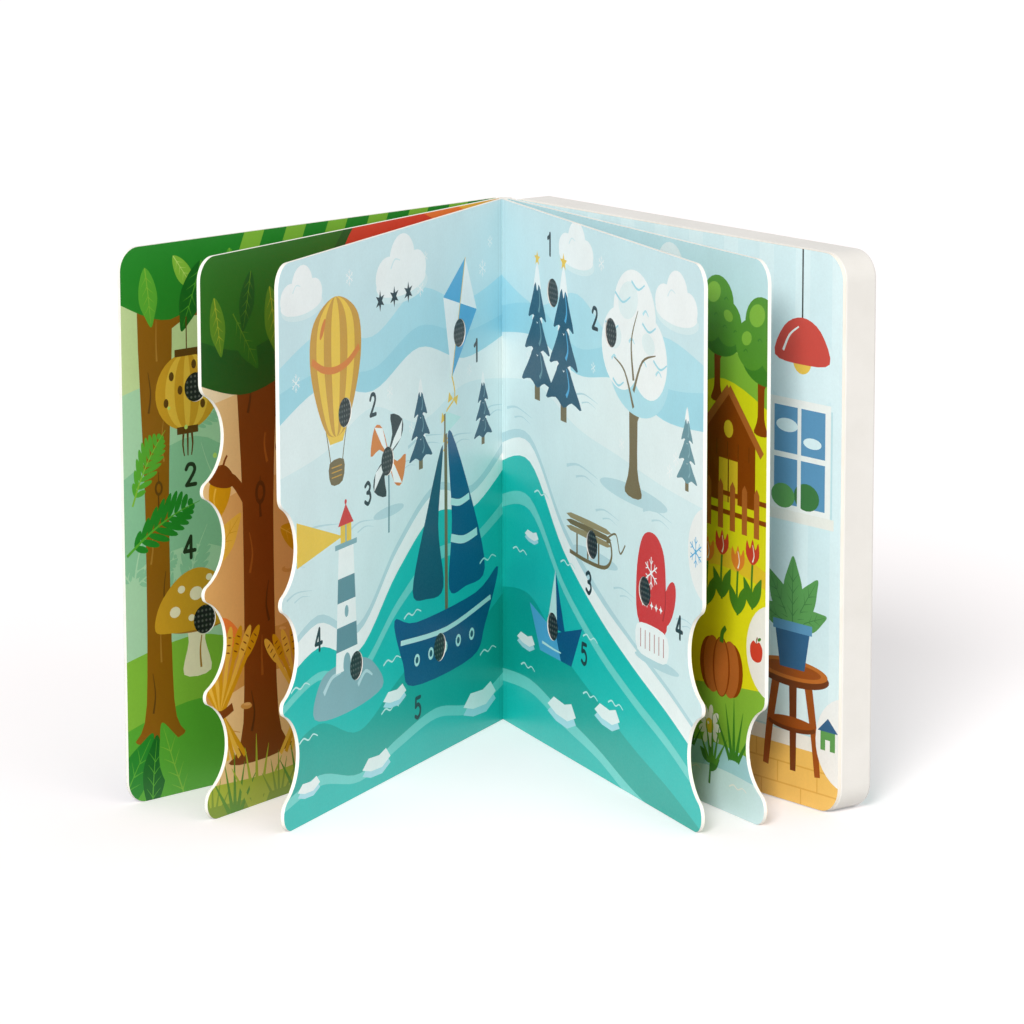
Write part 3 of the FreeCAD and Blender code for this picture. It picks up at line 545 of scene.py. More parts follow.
def fern(x, z, s, angle, main, vein):
    pen = Pen(x, z, s)
    art = []
    for k in range(9):
        at, size = 0.12 + 0.095 * k, 0.3 * math.sin(0.55 + 0.3 * k) + 0.02
        for side in (1, -1):
            tip = oval(0, 0, size, 0.07)
            tip = turnedTo(tip, size * 0.38, size * 0.32 * side, 42 * side)
            tip = turnedTo(tip, at, 0.06 * math.sin(at * 3))
            art.append((main, pen.turned(tip, angle)))
    rib = stroke([(0, 0), (0.35, 0.05), (0.7, 0.05), (1.02, 0)], 0.03, 0.8)
    return art + [(vein, pen.turned(rib, angle))]


def tree(x, z, s, crown, light, dark, trunk):
    pen = Pen(x, z, s)
    bark = pen.blob(
        [(-0.09, 0), (-0.045, 0.12), (-0.04, 0.42), (0.04, 0.42), (0.045, 0.12), (0.09, 0)], 4)
    art = [
        (trunk, bark), (trunk, pen.stroke([(0, 0.3), (0.1, 0.42), (0.18, 0.48)], 0.04, 0.5)),
        (dark, pen.oval(0.05, 0.56, 0.66, 0.42)), (crown, pen.oval(-0.14, 0.62, 0.42, 0.36)),
        (crown, pen.oval(0.16, 0.62, 0.4, 0.36)), (crown, pen.oval(0.01, 0.78, 0.46, 0.4)),
        (light, pen.oval(-0.06, 0.84, 0.22, 0.16, 20)),
        (light, pen.oval(-0.2, 0.66, 0.14, 0.1, 20)),
        (light, pen.oval(0.16, 0.68, 0.14, 0.09, -10))]
    for dx, dz in ((-0.05, 0.66), (0.08, 0.58), (0.24, 0.56), (-0.24, 0.56), (0.1, 0.8)):
        art.append((
            dark, pen.stroke([(dx, dz), (dx + 0.03, dz + 0.02), (dx + 0.06, dz)], 0.014, 0.6, 3)))
    return art


def trunkUp(x, low, high, wide, bark, dark, light):
    # a tall trunk with bark lines, wider at its foot
    mid = (low + high) / 2
    art = [(bark, smooth([
        (x - 0.9 * wide, low), (x - 0.52 * wide, low + 14), (x - 0.46 * wide, mid),
        (x - 0.6 * wide, high), (x + 0.6 * wide, high), (x + 0.42 * wide, mid),
        (x + 0.5 * wide, low + 14), (x + 0.85 * wide, low)], True, 5))]
    for k in range(9):
        at = low + 10 + (high - low - 26) * k / 8
        side = (-0.28, 0.05, 0.26)[k % 3] * wide
        art.append(((dark, light)[k % 2], stroke(
            [(x + side, at), (x + side * 0.7, at + 7), (x + side, at + 15)], 0.07 * wide, 0.7)))
    art += [
        (dark, oval(x + 0.05 * wide, mid + 6, 0.3 * wide, 0.42 * wide)),
        (bark, oval(x + 0.05 * wide, mid + 6, 0.16 * wide, 0.26 * wide))]
    return art


def mushroom(x, z, s, cap, spot, stem, gill):
    pen = Pen(x, z, s)
    dome = pen.blob([
        (-0.5, 0.46), (-0.44, 0.7), (-0.2, 0.92), (0.08, 0.97), (0.36, 0.8), (0.5, 0.5),
        (0.3, 0.42), (0, 0.4), (-0.3, 0.41)], 5)
    art = [
        (
            stem,
            pen.blob(
                [(-0.16, 0), (-0.1, 0.3), (-0.12, 0.5), (0.12, 0.5), (0.1, 0.3), (0.17, 0)], 4)),
        (gill, pen.oval(0, 0.45, 0.72, 0.14)), (cap, dome),
        (gill, pen.stroke([(0.05, 0.04), (0.04, 0.2), (0.06, 0.34)], 0.025, 0.5))]
    for dx, dz, d in (
        (-0.26, 0.6, 0.13), (0.0, 0.74, 0.16), (0.28, 0.62, 0.12), (-0.06, 0.52, 0.08),
        (-0.18, 0.8, 0.09), (0.16, 0.87, 0.08)):
        art.append((spot, pen.oval(dx, dz, d, d * 0.8)))
    return art


def flower(x, z, s, petal, middle, stem, count=9):
    pen = Pen(x, z, s)
    art = [(stem, pen.stroke([(0, 0), (0.03, 0.35), (0, 0.7)], 0.045, 0.3))]
    art += leafBlade(x, z + 0.16 * s, 0.3 * s, 38, stem, petal)[:1]
    art += leafBlade(x + 0.01 * s, z + 0.26 * s, 0.28 * s, 146, stem, petal)[:1]
    for k in range(count):
        a = math.tau * k / count
        art.append((petal, oval(
            x + 0.17 * s * math.cos(a), z + (0.72 + 0.17 * math.sin(a)) * s, 0.2 * s, 0.11 * s,
            math.degrees(a))))
    return art + [(middle, pen.oval(0, 0.72, 0.19)), (petal, pen.oval(-0.03, 0.75, 0.04))]


def tulip(x, z, s, bloom, shade, stem):
    pen = Pen(x, z, s)
    cup = pen.blob([
        (-0.15, 0.95), (-0.17, 0.75), (0, 0.62), (0.17, 0.75), (0.15, 0.95), (0.07, 0.84),
        (0, 0.98), (-0.07, 0.84)], 3)
    left = leafBlade(x, z + 0.02 * s, 0.5 * s, 62, stem, stem)[:1]
    right = leafBlade(x, z + 0.02 * s, 0.46 * s, 120, stem, stem)[:1]
    stalk = [(stem, pen.stroke([(0, 0), (-0.02, 0.3), (0, 0.65)], 0.05))]
    return stalk + left + right + [
        (bloom, cup), (shade, pen.stroke([(0, 0.66), (0.04, 0.76), (0, 0.9)], 0.03, 0.6))]


def tuft(x, z, s, main):
    pen = Pen(x, z, s)
    return [
        (main, pen.stroke([(dx * 0.2, 0), (dx * 0.6, 0.5 * h), (dx, h)], 0.12, 0.92, 4))
        for dx, h in ((-0.6, 0.7), (-0.28, 0.95), (0.0, 1.1), (0.3, 0.9), (0.62, 0.65))]


def star(x, z, s, main, count=5, inner=0.42, angle=90.0):
    points = []
    for k in range(2 * count):
        reach = s / 2 * (1 if k % 2 == 0 else inner)
        a = math.radians(angle) + math.pi * k / count
        points.append((x + reach * math.cos(a), z + reach * math.sin(a)))
    return [(main, points)]


def snowflake(x, z, s, main):
    pen = Pen(x, z, s)
    art = []
    for k in range(6):
        arm = [stroke([(0, 0), (0.25, 0), (0.5, 0)], 0.05, 0.0, 1)]
        for side in (1, -1):
            arm.append(stroke([(0.26, 0), (0.33, 0.06 * side), (0.4, 0.13 * side)], 0.035, 0.0, 1))
        art += [(main, pen.turned(part, 60 * k + 30)) for part in arm]
    return art + [(main, pen.oval(0, 0, 0.16))]


def ripple(x, z, s, main):
    pen = Pen(x, z, s)
    return [(
        main, pen.stroke([(-0.5, 0), (-0.25, 0.09), (0, 0), (0.25, 0.09), (0.5, 0)], 0.05, 0.4, 4)
    )]


def balloon(x, z, s, main, stripe, accent, basket):
    pen = Pen(x, z, s)
    wide = 0.8 * s
    art = [
        (basket, pen.stroke([(-0.16, -0.42), (-0.12, -0.55), (-0.09, -0.66)], 0.012, 0.0, 2)),
        (basket, pen.stroke([(0.16, -0.42), (0.12, -0.55), (0.09, -0.66)], 0.012, 0.0, 2)),
        (stripe, pen.shape([(-0.2, -0.36), (0.2, -0.36), (0.1, -0.52), (-0.1, -0.52)]))]
    for share, colour in ((1.0, main), (0.74, stripe), (0.46, main), (0.17, stripe)):
        art.append((colour, smooth([
            (x, z + 0.5 * s), (x + 0.42 * wide * share, z + 0.36 * s),
            (x + 0.5 * wide * share, z + 0.08 * s), (x + 0.36 * wide * share, z - 0.24 * s),
            (x + 0.12 * s * share, z - 0.45 * s), (x - 0.12 * s * share, z - 0.45 * s),
            (x - 0.36 * wide * share, z - 0.24 * s), (x - 0.5 * wide * share, z + 0.08 * s),
            (x - 0.42 * wide * share, z + 0.36 * s)], True, 6)))
    art.append((
        accent,
        pen.stroke([(-0.37, 0.1), (-0.2, 0.02), (0, -0.01), (0.2, 0.02), (0.37, 0.1)], 0.05)))
    art.append((accent, pen.oval(-0.2, 0.3, 0.05, 0.16, -32)))
    art.append((basket, pen.blob([(-0.11, -0.65), (0.11, -0.65), (0.09, -0.8), (-0.09, -0.8)], 3)))
    for k in range(3):
        art.append((main, pen.panel(-0.08, -(0.69 + 0.035 * k), 0.16, 0.008)))
    return art


def kite(x, z, s, first, second, tail, angle=12.0):
    pen = Pen(x, z, s)
    top, side, foot, heart = (0, 0.5), (0.34, 0.12), (0, -0.5), (0, 0.12)
    other = (-0.34, 0.12)
    art = [(tail, pen.turned(stroke(
        [(0, -0.48), (0.1, -0.64), (-0.04, -0.8), (0.08, -0.96), (0.0, -1.1)], 0.02, 0.2, 4
    ), angle))]
    for colour, shape in (
        (first, [top, heart, side]), (second, [top, other, heart]), (second, [heart, foot, side]),
        (first, [heart, other, foot])):
        art.append((colour, pen.turned(shape, angle)))
    for bx, bz in ((0.07, -0.66), (-0.02, -0.84), (0.06, -0.99)):
        for flip in (1, -1):
            bow = [(bx, bz), (bx + 0.09 * flip, bz + 0.045), (bx + 0.09 * flip, bz - 0.045)]
            art.append((tail, pen.turned(bow, angle)))
    art.append((tail, pen.turned(stroke([(0, 0.5), (0, 0), (0, -0.5)], 0.012, 0, 1), angle)))
    return art


def ship(x, z, s, hull, stripe, sail, shade, mast):
    pen = Pen(x, z, s)
    art = [
        (mast, pen.panel(-0.015, 0.05, 0.03, 0.92)),
        (sail, pen.blob(
            [(0.03, 0.9), (0.26, 0.56), (0.4, 0.22), (0.2, 0.18), (0.03, 0.2), (0.06, 0.5)], 5)),
        (shade, pen.blob([
            (-0.03, 0.84), (-0.08, 0.5), (-0.03, 0.22), (-0.2, 0.2), (-0.34, 0.26), (-0.2, 0.56)
        ], 5)), (stripe, pen.stroke([(0.05, 0.42), (0.18, 0.39), (0.32, 0.4)], 0.035)),
        (stripe, pen.stroke([(0.05, 0.58), (0.14, 0.56), (0.24, 0.57)], 0.03)),
        (stripe, pen.shape([(0, 0.98), (0.16, 0.93), (0, 0.88)])),
        (hull, pen.blob([
            (-0.52, 0.17), (-0.44, -0.03), (-0.34, -0.15), (0.26, -0.15), (0.4, -0.03),
            (0.54, 0.2), (0.3, 0.13), (-0.3, 0.12)], 5)),
        (stripe, pen.stroke([(-0.46, 0.06), (0, 0.03), (0.46, 0.08)], 0.022))]
    for k in range(5):
        px = x + (-0.3 + 0.14 * k) * s
        art += [
            (stripe, oval(px, z - 0.045 * s, 0.055 * s)),
            (shade, oval(px, z - 0.045 * s, 0.03 * s))]
    return art


def paperBoat(x, z, s, main, light, dark):
    pen = Pen(x, z, s)
    return [
        (light, pen.shape([(-0.16, 0.06), (0, 0.5), (0.18, 0.06)])),
        (dark, pen.shape([(0, 0.5), (0.18, 0.06), (0.03, 0.06)])),
        (main, pen.shape([(-0.5, 0.16), (-0.3, -0.16), (0.3, -0.16), (0.5, 0.16), (0, 0.03)])),
        (dark, pen.shape([(0, 0.03), (0.5, 0.16), (0.3, -0.16), (0.1, -0.16)])),
        (light, pen.stroke([(-0.26, -0.09), (-0.05, -0.1), (0.1, -0.1)], 0.02, 0.5))]


def lighthouse(x, z, s, body, stripe, roof, rock, rockLight, glow):
    pen = Pen(x, z, s)

    def slab(low, high, grow=0.0):
        a, b = 0.15 - 0.07 * low + grow, 0.15 - 0.07 * high + grow
        return pen.shape([(-a, low), (a, low), (b, high), (-b, high)])
    art = [
        (glow, pen.shape([(-0.04, 0.86), (-0.62, 1.04), (-0.62, 0.78)])),
        (rock, pen.blob([
            (-0.42, -0.12), (-0.34, 0.08), (-0.12, 0.13), (0.16, 0.12), (0.36, 0.04),
            (0.46, -0.12), (0, -0.17)], 5)),
        (rockLight, pen.stroke([(-0.3, 0), (-0.2, 0.07), (-0.08, 0.08)], 0.035, 0.6)),
        (rockLight, pen.stroke([(0.14, -0.04), (0.24, 0.02), (0.33, -0.02)], 0.03, 0.6)),
        (body, slab(0.08, 0.8)), (stripe, slab(0.2, 0.34)), (stripe, slab(0.48, 0.62)),
        (rock, pen.panel(-0.14, 0.79, 0.28, 0.03)), (glow, pen.panel(-0.07, 0.82, 0.14, 0.1)),
        (rock, pen.panel(-0.008, 0.82, 0.016, 0.1)),
        (roof, pen.shape([(-0.1, 0.92), (0.1, 0.92), (0, 1.04)])), (roof, pen.oval(0, 1.05, 0.03)),
        (rock, pen.blob([(-0.04, 0.08), (-0.04, 0.15), (0, 0.18), (0.04, 0.15), (0.04, 0.08)], 3)),
        (rock, pen.oval(0, 0.42, 0.05, 0.07))]
    return art


def pinwheel(x, z, s, first, second, third, stick):
    pen = Pen(x, z, s)
    art = [(stick, pen.stroke([(0, 0), (0.01, -0.4), (0, -0.85)], 0.035, 0.0, 2))]
    for k in range(4):
        blade = [(0, 0), (0.1, 0.22), (0.06, 0.44), (0.36, 0.34), (0.32, 0.14)]
        fold = [(0, 0), (0.32, 0.14), (0.36, 0.34), (0.14, 0.16)]
        art.append(((first, second)[k % 2], pen.turned(smooth(blade, True, 3), 90 * k)))
        art.append((third, pen.turned(fold, 90 * k)))
    return art + [(stick, pen.oval(0, 0, 0.1)), (second, pen.oval(0, 0, 0.05))]


def sled(x, z, s, wood, dark, rail):
    pen = Pen(x, z, s)
    art = [(rail, pen.stroke(
        [(-0.5, 0), (-0.1, -0.02), (0.34, 0), (0.5, 0.12), (0.47, 0.26), (0.38, 0.24)], 0.04, 0.2
    ))]
    for k in range(3):
        art.append((dark, pen.panel(-0.34 + 0.26 * k, 0, 0.035, 0.2)))
    for k in range(3):
        art.append(((wood, dark)[k % 2], pen.blob([
            (-0.48, 0.2 + 0.06 * k), (-0.47, 0.25 + 0.06 * k), (0.38, 0.25 + 0.06 * k),
            (0.4, 0.2 + 0.06 * k)], 2)))
    art += [
        (rail, pen.stroke([(0.38, 0.28), (0.6, 0.36), (0.7, 0.2), (0.82, 0.3)], 0.02)),
        (wood, pen.oval(-0.3, 0.24, 0.02)), (wood, pen.oval(0.2, 0.24, 0.02))]
    return art


def mitten(x, z, s, main, cuff, mark, shade):
    pen = Pen(x, z, s)
    art = [
        (main, pen.blob([
            (-0.26, 0.22), (-0.32, 0.6), (-0.2, 0.92), (0.04, 0.98), (0.22, 0.84), (0.26, 0.5),
            (0.24, 0.22)], 5)),
        (main, pen.oval(0.32, 0.48, 0.2, 0.42, -28)),
        (shade, pen.stroke([(0.2, 0.32), (0.25, 0.46), (0.24, 0.6)], 0.02, 0.5)),
        (
            cuff,
            pen.blob([(-0.3, 0), (-0.31, 0.2), (0, 0.24), (0.29, 0.2), (0.28, 0), (0, -0.03)], 3))]
    for k in range(6):
        art.append((shade, pen.panel(-0.24 + 0.09 * k, 0.03, 0.012, 0.15)))
    for k in range(5):
        art += star(x + (-0.2 + 0.09 * k) * s, z + 0.4 * s, 0.07 * s, mark, 4)
    return art + snowflake(x - 0.03 * s, z + 0.66 * s, 0.26 * s, mark)


def sun(x, z, s, main, ray, count=12):
    pen = Pen(x, z, s)
    art = []
    for k in range(count):
        spike = [(0.3, -0.05), (0.5, 0.0), (0.3, 0.05)]
        art.append((ray, pen.turned(spike, 360 * k / count)))
    return art + [(main, pen.oval(0, 0, 0.54)), (ray, pen.oval(-0.08, 0.08, 0.2, 0.14, 35))]


def lantern(x, z, s, main, stripe, cap):
    pen = Pen(x, z, s)
    art = [
        (cap, pen.panel(-0.008, 0.4, 0.016, 0.4)), (main, pen.oval(0, 0, 0.9, 0.84)),
        (stripe, pen.oval(0, 0, 0.62, 0.84)), (main, pen.oval(0, 0, 0.36, 0.84)),
        (stripe, pen.oval(0, 0, 0.1, 0.84)), (cap, pen.panel(-0.17, 0.38, 0.34, 0.08)),
        (cap, pen.panel(-0.15, -0.46, 0.3, 0.08))]
    for k in (-1, 0, 1):
        art.append((
            cap, pen.stroke([(0.06 * k, -0.46), (0.07 * k, -0.58), (0.05 * k, -0.7)], 0.03, 0.5, 2)
        ))
    for dx, dz in (
        (-0.22, 0.18), (0.25, 0.2), (-0.3, -0.1), (0.22, -0.16), (-0.1, 0.02), (0.1, 0.28)):
        art.append((cap, pen.oval(dx, dz, 0.07, 0.1)))
    return art


def acorn(x, z, s, nut, cup, light, angle=0.0):
    pen = Pen(x, z, s)
    parts = [
        (nut, smooth(
            [(-0.26, 0.1), (-0.24, -0.25), (0, -0.52), (0.24, -0.25), (0.26, 0.1)], True, 4)),
        (light, stroke([(-0.12, 0.0), (-0.13, -0.18), (-0.06, -0.3)], 0.05, 0.6, 3)),
        (cup, smooth(
            [(-0.32, 0.08), (-0.28, 0.28), (0, 0.4), (0.28, 0.28), (0.32, 0.08), (0, 0.02)], True,
            4)),
        (cup, stroke([(0, 0.36), (0.02, 0.46), (0.07, 0.56)], 0.06, 0.3, 3))]
    return [(colour, pen.turned(shape, angle)) for colour, shape in parts]


def pumpkin(x, z, s, main, shade, stalk):
    pen = Pen(x, z, s)
    art = [
        (shade, pen.oval(-0.26, 0, 0.48, 0.66)), (shade, pen.oval(0.26, 0, 0.48, 0.66)),
        (main, pen.oval(-0.2, 0, 0.42, 0.7)), (main, pen.oval(0.2, 0, 0.42, 0.7)),
        (shade, pen.oval(0, 0, 0.4, 0.74)), (main, pen.oval(0, 0, 0.33, 0.72)),
        (stalk, pen.stroke([(0, 0.3), (0.02, 0.42), (0.1, 0.5)], 0.09, 0.3))]
    return art


def basketOf(x, z, s, wood, dark, fruit, shine):
    pen = Pen(x, z, s)
    art = [(
        dark, pen.stroke([(-0.4, 0.36), (-0.34, 0.8), (0, 0.98), (0.34, 0.8), (0.4, 0.36)], 0.05))]
    for k, dx in enumerate((-0.28, 0.0, 0.28, -0.14, 0.14)):
        lift = 0.44 if k < 3 else 0.6
        art += [
            (fruit, pen.oval(dx, lift, 0.28, 0.26)),
            (shine, pen.oval(dx - 0.05, lift + 0.05, 0.06, 0.04, 30))]
    art.append((wood, pen.shape([(-0.48, 0.4), (0.48, 0.4), (0.36, 0), (-0.36, 0)])))
    for row in range(4):
        for col in range(6):
            px = x + (-0.33 + 0.12 * col + 0.05 * (row % 2)) * s
            art.append((dark, panel(px, z + (0.05 + 0.085 * row) * s, 0.075 * s, 0.025 * s)))
    return art


def sheaf(x, z, s, straw, light, tie):
    pen = Pen(x, z, s)
    art = []
    for k in range(9):
        lean = (k - 4) * 0.085
        colour = (straw, light)[k % 2]
        away = math.atan2(lean, 0.42)
        art.append((colour, pen.stroke([(-(lean * 0.9), 0), (0, 0.38), (lean, 0.8)], 0.045)))
        ear = (x + (lean + 0.12 * math.sin(away)) * s, z + (0.8 + 0.12 * math.cos(away)) * s)
        art.append((colour, oval(*ear, 0.09 * s, 0.3 * s, -math.degrees(away))))
        for notch in (-0.06, 0.0, 0.06):
            px, pz = ear[0] + notch * math.sin(away) * s, ear[1] + notch * math.cos(away) * s
            art.append((tie, oval(px, pz, 0.05 * s, 0.012 * s, -math.degrees(away))))
    return art + [(tie, pen.stroke([(-0.15, 0.42), (0, 0.38), (0.15, 0.42)], 0.07))]


def shed(x, z, s, wallColour, roof, dark, door):
    pen = Pen(x, z, s)
    art = [
        (wallColour, pen.panel(-0.4, 0, 0.8, 0.5)),
        (wallColour, pen.shape([(-0.4, 0.5), (0.4, 0.5), (0, 0.86)])),
        (roof, pen.stroke([(-0.5, 0.44), (-0.25, 0.67), (0, 0.9)], 0.07, 0.0, 1)),
        (roof, pen.stroke([(0.5, 0.44), (0.25, 0.67), (0, 0.9)], 0.07, 0.0, 1)),
        (door, pen.panel(-0.14, 0, 0.28, 0.34)), (dark, pen.panel(-0.008, 0, 0.016, 0.34)),
        (door, pen.oval(0, 0.58, 0.14))]
    for k in range(5):
        art.append((dark, pen.panel(-0.34 + 0.16 * k, 0.36, 0.012, 0.12)))
    return art


def fence(x, z, wide, high, main, shade):
    art = [
        (shade, panel(x, z + 0.3 * high, wide, 0.1 * high)),
        (shade, panel(x, z + 0.68 * high, wide, 0.1 * high))]
    count = int(wide / (high * 0.42))
    for k in range(count):
        px = x + wide * k / count
        post = high * 0.2
        art.append((main, [
            (px, z), (px + post, z), (px + post, z + 0.88 * high), (px + post / 2, z + high),
            (px, z + 0.88 * high)]))
    return art


def clock(x, z, s, rim, face, hand, mark):
    pen = Pen(x, z, s)
    art = [(rim, pen.oval(0, 0, 1)), (face, pen.oval(0, 0, 0.84))]
    for k in range(12):
        a = math.tau * k / 12
        art.append((mark, oval(x + 0.35 * s * math.cos(a), z + 0.35 * s * math.sin(a), 0.035 * s)))
    return art + [
        (hand, pen.stroke([(0, 0), (0.08, 0.13), (0.15, 0.25)], 0.035, 0.4, 1)),
        (hand, pen.stroke([(0, 0), (-0.09, 0.04), (-0.18, 0.08)], 0.045, 0.4, 1)),
        (mark, pen.oval(0, 0, 0.07)), (rim, pen.oval(-0.02, -0.24, 0.1, 0.05))]


def picture(x, z, wide, high, rim, shade, mount, hill, sky, disc):
    low, left, in1, in2 = z - high / 2, x - wide / 2, 0.1 * wide, 0.19 * wide
    return [
        (shade, panel(left + 1.2, low - 1.2, wide, high)), (rim, panel(left, low, wide, high)),
        (mount, panel(left + in1, low + in1, wide - 2 * in1, high - 2 * in1)),
        (sky, panel(left + in2, low + in2, wide - 2 * in2, high - 2 * in2)),
        (disc, oval(x + 0.12 * wide, z + 0.12 * high, 0.2 * wide)),
        (hill, [
            (left + in2, low + in2), (left + wide - in2, low + in2),
            (left + wide - in2, low + 0.36 * high), (x + 0.05 * wide, low + 0.48 * high),
            (left + in2, low + 0.34 * high)])]


def chest(x, z, wide, high, wood, dark, light, knob):
    left = x - wide / 2
    art = [
        (dark, panel(left + 0.06 * wide, z, 0.08 * wide, 0.12 * high)),
        (dark, panel(left + 0.86 * wide, z, 0.08 * wide, 0.12 * high)),
        (wood, panel(left, z + 0.1 * high, wide, 0.84 * high)),
        (light, panel(left - 0.03 * wide, z + 0.93 * high, 1.06 * wide, 0.07 * high))]
    for k in range(3):
        base = z + (0.15 + 0.26 * k) * high
        art += [
            (dark, panel(left + 0.06 * wide, base, 0.88 * wide, 0.225 * high)),
            (wood, panel(left + 0.075 * wide, base + 0.012 * high, 0.85 * wide, 0.2 * high)),
            (light, stroke([
                (left + 0.14 * wide, base + 0.15 * high), (x, base + 0.165 * high),
                (left + 0.84 * wide, base + 0.15 * high)], 0.012 * high, 0.3)),
            (knob, oval(x - 0.2 * wide, base + 0.1 * high, 0.05 * wide)),
            (knob, oval(x + 0.2 * wide, base + 0.1 * high, 0.05 * wide))]
    return art


def stool(x, z, s, wood, dark, light):
    # a small round table on three legs
    pen = Pen(x, z, s)
    art = []
    for lean, colour in ((-0.36, wood), (0.36, wood), (0.02, dark)):
        art.append((
            colour, pen.stroke([(lean * 0.6, 0.86), (lean * 0.85, 0.4), (lean, 0)], 0.11, 0.3)))
    art += [
        (dark, pen.oval(0, 0.42, 0.66, 0.12)), (wood, pen.oval(0, 0.45, 0.62, 0.1)),
        (dark, pen.oval(0, 0.9, 1.02, 0.24)), (light, pen.oval(0, 0.94, 0.98, 0.2)),
        (wood, pen.oval(0, 0.94, 0.8, 0.13))]
    return art


def lampOn(x, z, s, shade, light, stand):
    pen = Pen(x, z, s)
    return [
        (stand, pen.oval(0, 0.03, 0.4, 0.08)),
        (stand, pen.stroke([(0, 0), (0, 0.3), (0, 0.62)], 0.05, 0.0, 1)),
        (stand, pen.oval(0, 0.3, 0.2, 0.3)),
        (shade, pen.shape([(-0.32, 0.55), (0.32, 0.55), (0.18, 0.98), (-0.18, 0.98)])),
        (light, pen.shape([(-0.2, 0.55), (-0.06, 0.55), (-0.03, 0.98), (-0.11, 0.98)]))]


def jar(x, z, s, body, light, twig, berry):
    pen = Pen(x, z, s)
    art = []
    for lean in (-0.34, -0.14, 0.06, 0.3):
        art.append((twig, pen.stroke([(0, 0.4), (lean * 0.4, 0.8), (lean, 1.25)], 0.03, 0.6)))
        for k in range(3):
            share = 0.5 + 0.2 * k
            art.append((berry, pen.oval(lean * share, 0.5 + 0.62 * share, 0.06)))
    return art + [(body, pen.blob([
        (-0.16, 0), (-0.26, 0.2), (-0.12, 0.46), (-0.14, 0.54), (0.14, 0.54), (0.12, 0.46),
        (0.26, 0.2), (0.16, 0)
    ], 4)), (light, pen.stroke([(-0.14, 0.12), (-0.17, 0.22), (-0.1, 0.36)], 0.04, 0.5))]


def ball(x, z, s, first, second, third):
    pen = Pen(x, z, s)
    return [
        (first, pen.oval(0, 0, 1)), (second, pen.oval(0, 0, 0.62, 0.99, 24)),
        (first, pen.oval(0, 0, 0.26, 0.99, 24)), (third, pen.oval(0, 0, 0.99, 0.2, 24)),
        (third, pen.oval(-0.2, 0.26, 0.14, 0.09, 40))]


def blockPile(x, z, s, first, second, third, mark):
    pen = Pen(x, z, s)
    art = []
    for (dx, dz), colour, count in (
        ((-0.5, 0), first, 4), ((0.02, 0), second, 5), ((-0.24, 0.5), third, 6)):
        art += [
            (colour, pen.panel(dx, dz, 0.48, 0.48)),
            (mark, pen.panel(dx + 0.05, dz + 0.05, 0.38, 0.38)),
            (colour, pen.panel(dx + 0.07, dz + 0.07, 0.34, 0.34))]
        art += star(x + (dx + 0.24) * s, z + (dz + 0.24) * s, 0.26 * s, mark, count)
    return art


def potPlant(x, z, s, pot, rim, leaf, vein):
    pen = Pen(x, z, s)
    art = []
    for angle, size in ((20, 0.5), (160, 0.5), (55, 0.6), (125, 0.6), (90, 0.66)):
        art += leafBlade(x, z + 0.38 * s, size * s, angle, leaf, vein)
    return art + [
        (pot, pen.shape([(-0.24, 0.36), (0.24, 0.36), (0.17, 0), (-0.17, 0)])),
        (rim, pen.panel(-0.27, 0.34, 0.54, 0.09))]


def apple(x, z, s, main, leaf, stalk):
    pen = Pen(x, z, s)
    return [
        (main, pen.blob([
            (0, -0.42), (-0.34, -0.3), (-0.42, 0.1), (-0.2, 0.34), (0, 0.26), (0.2, 0.34),
            (0.42, 0.1), (0.34, -0.3)], 4)),
        (stalk, pen.stroke([(0, 0.24), (0.02, 0.4), (0.08, 0.5)], 0.06)),
        (leaf, pen.oval(0.2, 0.44, 0.26, 0.12, 24))]


def drift(x, z, s, main):
    # two long soft lines of blown snow
    pen = Pen(x, z, s)
    return [
        (main, pen.stroke([(-0.5, 0), (-0.1, 0.07), (0.5, 0)], 0.045, 0.9)),
        (main, pen.stroke([(-0.2, -0.09), (0.1, -0.04), (0.42, -0.1)], 0.03, 0.9))]


def floe(x, z, s, main, under):
    pen = Pen(x, z, s)
    top = [
        (-0.5, 0.02), (-0.28, 0.16), (0.1, 0.13), (0.34, 0.19), (0.5, 0.03), (0.2, -0.08),
        (-0.2, -0.06)]
    low = [(px, pz - 0.1) for px, pz in top]
    return [(under, pen.turned(low, 0)), (main, pen.turned(top, 0))]


def scatter(motif, seed, count, box, sizes, *colours):
    # small marks strewn over a box (x, z, x, z), the same on every run
    pick = random.Random(seed)
    art = []
    for _ in range(count):
        x, z = pick.uniform(box[0], box[2]), pick.uniform(box[1], box[3])
        art += motif(x, z, pick.uniform(*sizes), *colours)
    return art


def dot(x, z, s, main):
    pen = Pen(x, z, s)
    return [(main, pen.oval(0, 0, 1))]


def tabOn(z, icon):
    # the white half-oval at the fore-edge, of the size of an index cut
    return [("#F1F0EC", oval(pageWide + 4.5, z, 34.4))] + icon


